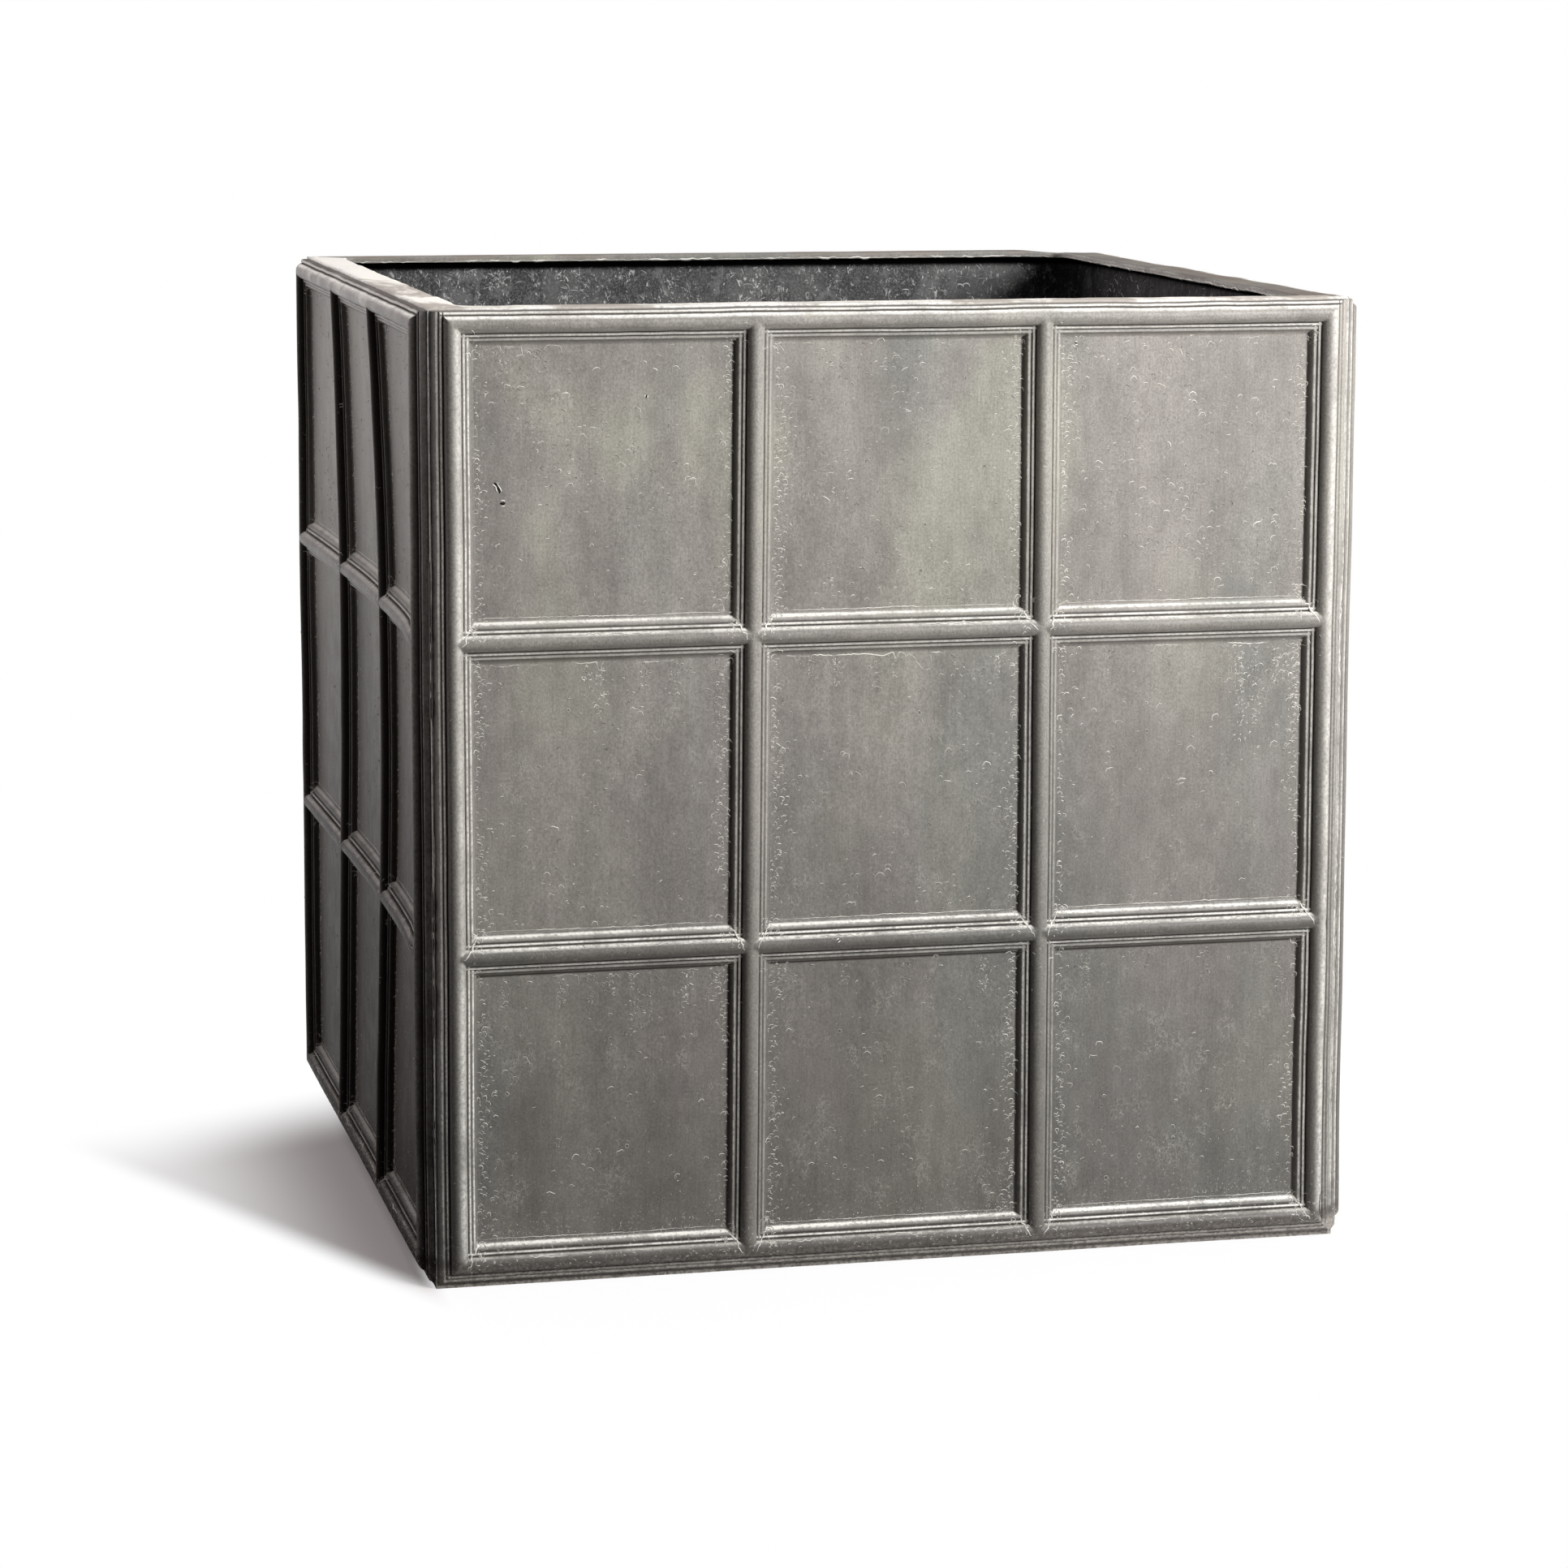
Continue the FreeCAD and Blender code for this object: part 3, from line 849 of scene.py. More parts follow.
class Patina:
    """The beads of one side, in batches of points, faces, chart spots, tube numbers and paleness with painted
    light, by part.
    """

    def __init__(self, side):
        self.side = side
        self.dice = np.random.default_rng(700 + SIDES.index(side))
        self.parts = {}
        for box in panel_boxes():
            self.panel_flecks(*box)
            self.panel_edge_lines(*box)
            self.panel_runs(*box)
        self.groups = self.parts.setdefault("rib_chips", [])
        self.mitre_chips()
        self.rail_paint()
        self.pit_rims()
        self.seams_and_resin()
        self.grime_and_chips()

    def add_line(self, s, z, thickness, strength, **settings):
        """One bead along a line of places. thickness is in mm."""
        line = np.column_stack([s, z])[None]
        self.groups.append(beads(self.side, line, thickness[None] * mm, [strength], **settings))

    def add_lines(self, places, widths, heights, tilts, sweep, stations, radii, strengths, closed=False):
        paths = drawn_lines(places, widths, heights, tilts, sweep, stations, closed)
        sway = 0.1 * widths[:, None, None] * self.dice.uniform(-1, 1, paths.shape)
        self.groups.append(beads(self.side, paths + sway, radii, strengths, closed))

    def add_strokes(self, places, kind, strength=1):
        """Wavy strokes, arched upwards, as the photograph's flecks are."""
        low_width, high_width, low_strength, high_strength, tilt, spread, stations = stroke_kinds[kind]
        dice, count = self.dice, len(places)
        widths = low_width + (high_width - low_width) * dice.uniform(0, 1, count) ** 1.8
        radii = dice.uniform(0.3, 0.52, count)[:, None] * mm * (0.7 + 0.3 * widths[:, None] / high_width)
        heights = widths * dice.uniform(0.1, 0.65, count)
        tilts = dice.normal(tilt, spread, count)
        strengths = dice.uniform(low_strength * strength, high_strength * strength, count)
        self.add_lines(places, widths, heights, tilts, 1.0, stations, radii, strengths)

    def add_specks(self, places, kind):
        widths, radii, strengths, tilt, roundness, stations = speck_kinds[kind]
        dice, count = self.dice, len(places)
        widths = dice.uniform(*widths, count) * mm
        heights = widths * dice.uniform(0, roundness, count) if roundness else 0 * widths
        self.add_lines(places, widths, heights, dice.uniform(-tilt, tilt, count), 1, stations,
                       dice.uniform(*radii, count)[:, None] * mm, dice.uniform(*strengths, count))

    def panel_flecks(self, column, row, low_s, high_s, low_z, high_z):
        dice, side = self.dice, self.side
        self.groups = self.parts.setdefault(fleck_rows[row], [])
        low, high = np.array([low_s, low_z]), np.array([high_s, high_z])
        # Strokes over the panel: faint ones throughout, clear ones in clusters
        amount = stroke_shares[row] * (0.4 if side == "left" else 1.0)
        for kind, tries, weight, base in (("faint", 1500, 0.34, 0.11), ("clear", 300, 0.36, 0.04)):
            self.add_strokes(spread_places(dice, side, low + panel_inset, high - panel_inset,
                                           int(tries * amount), weight, base), kind)
        # Strokes packed along the panel's uprights
        for edge, inward in ((low_s, 1), (high_s, -1)):
            steps = 150
            up = low_z + (high_z - low_z) * (np.arange(steps) + dice.uniform(0, 1, steps)) / steps
            thick = smooth(-0.7, 0.4, line_noise(up, upright_wave, 300 + 7 * column + row + inward))
            away = (0.6 + np.abs(dice.normal(0, 1, steps)) * (1.5 + 3.5 * thick)) * mm
            kept = dice.uniform(0, 1, steps) < 0.35 + 0.6 * thick
            self.add_strokes(np.column_stack([edge + inward * away, up])[kept], "upright")
        # Rings round burst bubbles, each with a dark middle, mostly low on the side
        count = int(dice.integers(2, 6)) + 5 * (row == 0)
        places = dice.uniform(low + ring_inset, high - ring_inset, (count, 2))
        widths = dice.uniform(1.5, 2.6, count) * mm
        heights = 0.5 * widths * dice.uniform(0.9, 1.25, count)
        self.add_lines(places, widths, heights, dice.uniform(-3, 3, count), 2, 8,
                       dice.uniform(0.18, 0.3, count)[:, None] * mm, dice.uniform(0.4, 0.9, count), True)
        self.add_lines(places, 0.3 * widths, 0 * widths, dice.uniform(-3, 3, count), 1, 3,
                       0.24 * widths[:, None], 0 * widths)
        # Dots, thickest near the foot of the side
        count = 34 + 210 * (row == 0)
        places = dice.uniform(low + panel_inset, high - panel_inset, (count, 2))
        if row == 0:
            places[:, 1] = low_z + (places[:, 1] - low_z) * dice.uniform(0, 1, count) ** 1.9
        self.add_specks(places, "dot")
        # Chips where the ribs' mitres meet the panel's corners
        for corner in ((low_s, low_z), (high_s, low_z), (low_s, high_z), (high_s, high_z)):
            self.add_strokes(np.array(corner) + dice.normal(0, 3.5, (9, 2)) * mm, "corner")

    def panel_edge_lines(self, column, row, low_s, high_s, low_z, high_z):
        """A scalloped line above the slope at the panel's foot, and a fainter one down its right edge."""
        s = steps_between(low_s, high_s, *foot_line_steps)
        short, long, breaks = line_noises(s, foot_line_sizes, 51 + row, 61 + column, 71 + row + 3 * column)
        wave = 1.5 + 0.5 * np.abs(short) + 0.5 * long
        self.add_line(s, low_z + wave * mm, 0.2 + 0.26 * smooth(-0.5, 0.2, breaks), 1.0)
        up = steps_between(low_z, high_z, *edge_line_steps)
        short, long, breaks = line_noises(up, edge_line_sizes, 81 + row, 85 + column, 91 + row + 3 * column)
        wave = 1.3 + 0.4 * short + 0.4 * long
        self.add_line(high_s - wave * mm, up, 0.06 + 0.2 * smooth(-0.2, 0.4, breaks), 0.7)

    def panel_runs(self, column, row, low_s, high_s, low_z, high_z):
        """Runs below the rail, and the wisps that hang from them. The left side has none."""
        dice, reach = self.dice, high_s - low_s
        if self.side == "front":
            runs = front_run_shares.get((column, row), [])
            curtains = front_curtains.get((column, row), [])
        else:
            begins = dice.uniform(0.02, 0.7, 3)
            runs = [(begin, begin + dice.uniform(0.08, 0.28), dice.uniform(0.4, 1)) for begin in begins]
            curtains = [[dice.uniform(*bounds) for bounds in curtain_ranges] for _ in range(5)]
        if self.side == "left":
            runs, curtains = [], []
        for start, end, thickness in runs:
            path = run_path(dice, low_s + start * reach, low_s + end * reach, high_z - run_drop)
            cloud = noise(np.column_stack([path, path[:, 0]]), run_thickness_wave, 95 + column)
            thick = thickness * (0.14 + 0.42 * smooth(-0.6, 0.2, cloud))
            self.add_line(*path.T, thick, 0.5 + 0.8 * thickness)
        for middle, length, strength in curtains:
            count = int(8 + 1.1 * length)
            fall = dice.uniform(0, 1, count) ** 1.2 * length * mm
            s = low_s + middle * reach + dice.normal(0, 2.2, count) * mm
            s = np.clip(s, low_s + panel_inset, high_s - panel_inset)
            self.add_strokes(np.column_stack([s, high_z - fall - wisp_drop]), "wisp", strength)
        if (self.side, column, row) == ("front", 1, 1):
            across, down = pocket_places.T
            thick = np.full(len(down), pocket_thickness)
            self.add_line(low_s + across * reach, high_z - down * mm, thick, 0.9, tapered=False)

    def mitre_chips(self):
        """Paint that has chipped along the mitres where rails meet uprights."""
        dice = self.dice
        for centre in upright_places:
            for level in rail_heights[:-1]:
                for hand in (-1, 1):
                    if abs(centre + hand * mitre_inset) > outer_rib_place:
                        continue
                    t = np.linspace(0, 1, 11)
                    reach_in = (12.6 - 8.5 * t + 0.9 * dice.uniform(-1, 1, 11)) * mm
                    rise = (11.5 - 13.0 * t ** 1.2 + 0.9 * dice.uniform(-1, 1, 11)) * mm
                    self.add_line(centre + hand * reach_in, np.minimum(level + rise, rim_ledge_height),
                                  dice.uniform(0.35, 1.0, 11), 1.3)
                    middle = np.array([centre, level]) + mitre_chip_place * (hand, 1)
                    spots = middle + dice.normal(0, 3.6, (16, 2)) * mm
                    spots[:, 1] = np.minimum(spots[:, 1], rim_ledge_height - panel_inset)
                    self.add_strokes(spots, "mitre")

    def rail_paint(self):
        """Ragged lower edge of the pale paint on the rails' upper sides."""
        for j, level in enumerate(rail_heights[:-1]):
            for start, end in zip(upright_places[:-1], upright_places[1:]):
                s = steps_between(start, end, *rail_paint_steps)
                short, long, breaks = line_noises(s, rail_paint_sizes, 401 + j, 405 + j, 411 + j)
                wave = 4.3 + 0.6 * short + 0.5 * long
                self.add_line(s, level + wave * mm, 0.05 + 0.38 * smooth(-0.1, 0.6, breaks), 1.0)

    def pit_rims(self):
        """Pale rims beside the nicks and pits: painted highlights along their edges."""
        for s, z, length, width, tilt in pits[self.side]:
            lean = math.radians(tilt)
            for hand in (-1, 1) if length < half_pit_length else ():
                off = np.array([-math.sin(lean), math.cos(lean)]) * (0.5 * width + 0.25) * hand * mm
                widths, heights = (np.array([share * length * mm]) for share in (0.9, 0.16))
                self.add_lines(np.array([[s, z]]) * mm + off, widths, heights, np.array([lean]), 0.9, 7,
                               [pit_rim_radius], [1.5])

    def seams_and_resin(self):
        """Filler up the corners and along the lip's mitres, resin and torn glass under the lip's edge."""
        for end in (-1, 1):
            up = np.arange(*seam_steps)
            lump, long, short = line_noises(up, seam_sizes, 101 + end, 103 + end, 104)
            lump = smooth(0.1, 0.7, lump)
            sway = 0.25 * long + 0.5 * lump * short
            self.add_line(end * (half_body - seam_setback + sway * mm), up, 0.22 + 0.75 * lump, 0.8)
        for end in (-1, 1):
            inward = np.arange(*filler_steps)
            sway, thick = line_noises(inward, filler_sizes, 111 + end, 113 + end)
            sway = 0.5 * sway * mm
            thick = 0.5 + 0.3 * thick
            self.add_line(end * (half_body - inward - sway), half_body - inward + sway, thick, 0.9, lay="lip")
        s = steps_between(-lip_half, lip_half, rim_corner_radius, resin_step)
        long, short, thick = line_noises(s, resin_sizes, 121, 123, 125 + SIDES.index(self.side))
        ragged = 0.7 + 0.45 * long + 0.3 * short
        self.add_line(s, lip_underside + ragged * mm, 0.2 + 0.6 * smooth(0.0, 0.5, thick), 1.2, lay="edge")

    def grime_and_chips(self):
        """Grime and chips on the foot rail, then chips along the half-rounds."""
        dice = self.dice
        count = 700
        s = dice.uniform(-half_body + speck_inset, half_body - speck_inset, count)
        z = np.abs(dice.normal(0, 9, count)) * mm + panel_inset
        self.add_specks(np.column_stack([s, z]), "grime")
        count = 260
        spots = dice.uniform([-half_body + chip_inset, chip_inset],
                             [half_body - chip_inset, rim_ledge_height - speck_inset], (count, 2))
        snap = dice.uniform(0, 1, count) < 0.5
        off = dice.normal(0, 4, count) * mm
        on_upright = spots[:, 0] - nearest(spots[:, 0], upright_places) + off
        on_rail = spots[:, 1] - nearest(spots[:, 1], rail_heights) + off
        s, z = np.where(snap, on_upright, spots[:, 0]), np.where(snap, spots[:, 1], on_rail)
        self.add_specks(np.column_stack([s, np.clip(z, speck_inset, chip_top)]), "chip")


# Black beads that paint the shade in the hollows of the nicks, pits and scratches
def pit_shade_beads(side):
    found = []
    for s, z, length, width, tilt in pits[side]:
        path = drawn_lines(np.array([[s, z]]) * mm, np.array([length * mm]), np.array([0.18 * length * mm]),
                           np.array([math.radians(tilt)]), 0.9, 9)
        found.append(beads(side, path, [0.5 * width * mm], [0.0]))
    return found


# Bare strands: how many are tried, how far they keep from corners, floor and lip, and the clusters' size
strand_count = 3200
strand_reach = inner_half - 12 * mm
strand_foot = base_top + 20 * mm
strand_top = lip_underside - 8 * mm
strand_cloud = 34 * mm


def strand_beads(side):
    """Glass strands that lie bare on the resin inside."""
    dice = np.random.default_rng(900 + SIDES.index(side))
    spots = dice.uniform([-strand_reach, strand_foot], [strand_reach, strand_top], (strand_count, 2))
    near_rim = dice.uniform(0, 1, strand_count) < 0.5
    spots[:, 1] = np.where(near_rim, lip_underside - dice.uniform(8, 110, strand_count) * mm, spots[:, 1])
    cloud = noise(np.column_stack([spots, np.full(strand_count, 5.0)]), strand_cloud, 43)
    spots = spots[dice.uniform(0, 1, strand_count) < 0.08 + 0.9 * smooth(0.0, 0.5, cloud)]
    count = len(spots)
    widths = (0.8 + 6 * dice.uniform(0, 1, count) ** 2.5) * mm
    tilts = dice.normal(0.3, 0.7, count)
    paths = drawn_lines(spots, widths, widths * dice.uniform(0, 0.25, count), tilts, 0.9, 5)
    radii = (0.25 + 0.65 * dice.uniform(0, 1, count) ** 3)[:, None] * mm
    return [beads(side, paths, radii, dice.uniform(0.4, 1.2, count), lay="inside")]


def joined_piece(name, groups, material):
    """One piece from many batches of beads, each tube in its own cell of the chart."""
    point_count = tube_count = 0
    all_faces, cells = [], []
    for points, faces, _, tube, _ in groups:
        all_faces.append(faces + point_count)
        cells.append(tube + tube_count)
        point_count += len(points)
        tube_count += int(tube.max()) + 1
    points, _, spots, _, wear_and_light = zip(*groups)
    chart = cell_chart(np.concatenate(spots), np.concatenate(cells), tube_count)
    piece = new_piece(name, np.vstack(points), np.vstack(all_faces).tolist(), chart.reshape(-1, 2),
                      [material], smooth_angle=80)
    add_share(piece, "wear_and_light", *wear_and_light)


# Glass-fibre mats and lumps of filler that bond the panels inside

mat_thickness = 3 * mm
mat_bend = 8 * mm
mat_sink = 0.3 * mm
mat_edge = 0.5 * mm
mat_middle = mat_thickness - 1.1 * mm
mat_column_count = 34
# Length of the waves of a mat's ragged edge and of its face
mat_edge_sizes = (16 * mm, 4 * mm)
mat_face_sizes = (11 * mm, 4 * mm)
corner_leg = 50 * mm
base_leg = 40 * mm
base_mat_end = inner_half - 44 * mm
corner_mat_rows = np.linspace(base_top, lip_underside, 150)
base_mat_rows = np.linspace(-base_mat_end, base_mat_end, 130)
patch_leg = 43 * mm
patch_station_count = 41
patch_width = rim_lip_width - sheet_thickness - 1.0 * mm
patch_section_shares = np.array([(0.0, 0.0), (0.0, -0.7), (0.12, -1.0), (0.45, -1.05), (0.8, -0.9),
                                 (0.97, -0.5), (1.0, 0.0)])
patch_sizes = (9 * mm, 12 * mm, 7 * mm)


def bent_leg(t):
    """Distance along one leg of a corner, from the rounded bend on."""
    return 0.5 * (t + np.sqrt(t * t + mat_bend * mat_bend))


def laminate_piece(name, points, corners, chart_shares, cap_spots, turned, material, node_name):
    """A tube with flat ends. cap_spots gives the chart places of the first and the last section."""
    rows = len(points) // corners
    faces, spots, _ = tube_faces(1, rows, corners)
    ring = np.arange(corners)
    faces = faces.tolist() + [ring.tolist(), (ring[::-1] + (rows - 1) * corners).tolist()]
    chart = [*(0.02 + spots * chart_shares), cap_spots[0], cap_spots[1][::-1]]
    if turned:
        faces = [face[::-1] for face in faces]
        chart = [part[::-1] for part in chart]
    new_piece(name, points, faces, np.vstack(chart), [material], [node_name], 60)


def mat_piece(name, leg, rows, lay, node_name, material, seed):
    """An angle of glass mat: ragged edges, lumpy face. lay puts (p, q, length place) in the world."""
    along, share = np.meshgrid(rows, np.linspace(-1, 1, mat_column_count), indexing="ij")
    sides = np.stack([along, (share > 0) * 1.0, along * 0], -1)
    cut = 1 - 0.16 * (1 + noise(sides, mat_edge_sizes[0], seed)) * 0.6
    cut -= 0.05 * (1 + noise(sides, mat_edge_sizes[1], seed + 1)) * 0.5
    t = share * leg * cut
    spots = np.stack([along, t, t * 0 + seed * mm], -1)
    thin = smooth(1.0, 0.8, np.abs(share))
    lumps = 0.5 * noise(spots, mat_face_sizes[0], seed + 2) + 0.3 * noise(spots, mat_face_sizes[1], seed + 3)
    thick = mat_edge + mat_middle * thin + lumps * mm * thin
    face_p, face_q = thick + bent_leg(t), thick + bent_leg(-t)
    back_p, back_q = np.maximum(t, 0) - mat_sink, np.maximum(-t, 0) - mat_sink
    p = np.concatenate([face_p, back_p[:, ::-1]], 1)
    q = np.concatenate([face_q, back_q[:, ::-1]], 1)
    points = lay(p.ravel(), q.ravel(), np.concatenate([along, along], 1).ravel())
    ring = np.arange(2 * mat_column_count)
    cap = np.column_stack([0.93 + 0.03 * (ring >= mat_column_count),
                           np.r_[0:mat_column_count, mat_column_count:0:-1] / mat_column_count])
    laminate_piece(name, points, len(ring), np.array([0.864, 0.96]), [cap, cap + np.array([0.035, 0])], False,
                   material, node_name)


def corner_lay(quarter):
    """Places (p, q, z) from the inner corner that lies before a side, counted from the front left."""
    turn = math.radians(90 * quarter)

    def lay(p, q, z):
        x, y = p - inner_half, q - inner_half
        world = np.column_stack([x * math.cos(turn) - y * math.sin(turn),
                                 x * math.sin(turn) + y * math.cos(turn), z])
        return kept_inside(settled(world))
    return lay


def foot_lay(side):
    def lay(p, q, s):
        return placed(side, s, -sheet_thickness - p, base_top + q)
    return lay


def patch_piece(corner, quarter, material, seed):
    """Lump of filler under the lip's mitre, rounded towards the mouth."""
    t = np.linspace(-1, 1, patch_station_count) * patch_leg
    t = t * (1 + 0.06 * line_noise(t, patch_sizes[0], seed))
    across, down = patch_section_shares.T
    drop = (2.2 + 0.6 * line_noise(t, patch_sizes[1], seed + 1)) * mm
    drop = drop * (0.25 + 0.75 * smooth(1.0, 0.75, np.abs(t) / t.max()))
    width_share = (1 + 0.05 * line_noise(t, patch_sizes[2], seed + 2))[:, None].clip(0, 1)
    a = (patch_width * across)[None] * width_share
    p, q = a + bent_leg(t)[:, None], a + bent_leg(-t)[:, None]
    z = lip_underside + mat_sink + down[None] * (drop[:, None] + mat_sink)
    points = corner_lay(quarter)(p.ravel(), q.ravel(), z.ravel())
    ring = np.arange(len(down)) / len(down)
    cap_spots = [np.column_stack([left_share + 0.02 * down, ring]) for left_share in (0.93, 0.98)]
    laminate_piece("rim_patch_lump_" + corner, points, len(down), np.array([0.86, 0.86]), cap_spots, True,
                   material, "rim_patch_" + corner)


# Materials

def node(kind, inputs=(), tree=None, **settings):
    """Adds a shader node. inputs maps a socket's name or number to a value or to another node's socket.

    It goes into the tree of the first such socket, or into the given tree."""
    inputs = dict(inputs)
    sockets = [value for value in inputs.values() if isinstance(value, bpy.types.NodeSocket)]
    tree = tree or sockets[0].id_data
    made = tree.nodes.new(kind)
    for name, value in settings.items():
        setattr(made, name, value)
    for name, value in inputs.items():
        if isinstance(value, bpy.types.NodeSocket):
            tree.links.new(value, made.inputs[name])
        else:
            made.inputs[name].default_value = value
    return made


def maths(operation, a, b=0.0, clamp=False):
    return node("ShaderNodeMath", {0: a, 1: b}, operation=operation, use_clamp=clamp).outputs[0]


def times(a, b, clamp=False):
    return maths("MULTIPLY", a, b, clamp)


def rest(value, clamp=False):
    return maths("SUBTRACT", 1.0, value, clamp)


def ramped(value, low, high, to_low=0.0, to_high=1.0):
    """value from low..high to to_low..to_high, smoothly and clamped."""
    return node("ShaderNodeMapRange", {"Value": value, "From Min": low, "From Max": high, "To Min": to_low,
                                       "To Max": to_high}, interpolation_type="SMOOTHSTEP").outputs["Result"]


def mixed(share, a, b, blend="MIX"):
    a, b = ((*colour, 1) if isinstance(colour, tuple) else colour for colour in (a, b))
    return node("ShaderNodeMix", {0: share, 6: a, 7: b}, data_type="RGBA", blend_type=blend).outputs[2]


def shaded(colour, shade):
    """A colour made darker or lighter by a shade."""
    grey = node("ShaderNodeCombineColor", {0: shade, 1: shade, 2: shade}).outputs[0]
    return mixed(1.0, colour, grey, "MULTIPLY")


def noised(place, scale, stretch=(1, 1, 1), detail=2.0, roughness=0.5, distortion=0.0):
    """Noise of so many lumps a metre, stretched by shares along X, Y and Z."""
    mapped = node("ShaderNodeMapping", {"Vector": place, "Scale": stretch}).outputs[0]
    return node("ShaderNodeTexNoise", {"Vector": mapped, "Scale": scale, "Detail": detail,
                                       "Roughness": roughness, "Distortion": distortion}).outputs["Fac"]


def axes(vector):
    return node("ShaderNodeSeparateXYZ", {0: vector}).outputs


def vector_maths(operation, a, b):
    return node("ShaderNodeVectorMath", {0: a, 1: b}, operation=operation).outputs


def share_of(place, name):
    """A share that the mesh carries, in the tree of place."""
    return node("ShaderNodeAttribute", tree=place.id_data, attribute_name=name).outputs["Fac"]


def emptied_tree(owner):
    owner.use_nodes = True
    owner.node_tree.nodes.clear()
    return owner.node_tree


def new_material(name):
    material = bpy.data.materials.new(name)
    return material, node("ShaderNodeTexCoord", tree=emptied_tree(material)).outputs["Object"]


def finished(colour, roughness, bump_height, bump_distance, specular=0.5, strength=1.0):
    bump = node("ShaderNodeBump", {"Height": bump_height, "Distance": bump_distance, "Strength": strength})
    shader = node("ShaderNodeBsdfPrincipled", {"Base Color": colour, "Roughness": roughness,
                                               "Normal": bump.outputs[0], "Specular IOR Level": specular})
    node("ShaderNodeOutputMaterial", {"Surface": shader.outputs[0]})


# Depth of each material's bumps
shell_bump = 0.25 * mm
bead_bump = 0.1 * mm
inner_bump = 1.3 * mm
# Heights between which the looks change, from the first to the second
upper_heights = (0.5 * body_height, 0.7 * body_height)
shade_heights = (-0.04 * body_height, body_height)
rib_shade_heights = (0, 0.85 * body_height)
rail_shade_heights = (0.0, 0.95 * body_height)
rim_stain_heights = (body_height - 3 * mm, body_height - 1 * mm)
soil_heights = (22.5 * mm, 17.5 * mm)
pale_soil_heights = (16 * mm, 9 * mm)
speck_heights = (70 * mm, 0.0)
# Lower and upper edges of the painted shadow just under the lip
lip_shadow_low_heights = (lip_underside - 8.5 * mm, lip_underside - 5.0 * mm)
lip_shadow_high_heights = (lip_underside + 1 * mm, lip_underside - 0.5 * mm)


def clouded_paint(place, height, clouds, shades):
    """Warm grey with green and purple clouds and a painted yellowish highlight, strongest on the top row,
    darkened towards the foot by painted shade. shades holds noises and spreads.
    """
    colour = mixed(ramped(clouds[0], 0.48, 0.64, 0, 0.6), (0.328, 0.304, 0.276), (0.266, 0.277, 0.252))
    purple = times(ramped(clouds[1], 0.52, 0.68, 0, 0.5), ramped(height, *upper_heights, 1.0, 0.4))
    colour = mixed(purple, colour, (0.294, 0.260, 0.248))
    # Painted highlight: yellowish gloss patches, strongest on the top row
    painted_sheen = ramped(noised(place, 11, (1, 1, 0.55), 2, 0.5), 0.50, 0.66, 0, 0.4)
    colour = mixed(times(painted_sheen, ramped(height, *upper_heights, 0.9, 1.9)), colour, (0.42, 0.41, 0.345))
    # Painted shade: darker towards the foot
    shade = ramped(height, *shade_heights, 0.44, 0.955)
    for value, spread in shades:
        shade = times(shade, ramped(value, 0.3, 0.7, 1 - spread, 1 + spread))
    return shaded(colour, shade)


def rib_paint(place, height, grain, rail):
    """Paint of the ribs: worn smooth and a little greener, smeared along the rails, darker towards the foot:
    the ribs by painted shade, the rails more again.
    """
    smeared = times(ramped(noised(place, 90, (0.25, 0.25, 1), 4, 0.65), 0.35, 0.62, 0.72, 1.1),
                    ramped(noised(place, 700, (0.04, 0.04, 1), 3, 0.6), 0.3, 0.7, 0.86, 1.12))
    smeared = times(smeared, ramped(height, *rail_shade_heights, 0.3, 0.96))
    # Painted shade: the ribs darker towards the foot
    shade = times(ramped(height, *rib_shade_heights, 0.47, 1.05), ramped(grain, 0.3, 0.7, 0.76, 1.24))
    return shaded((0.345, 0.329, 0.297), times(shade, maths("ADD", times(smeared, rail), rest(rail))))


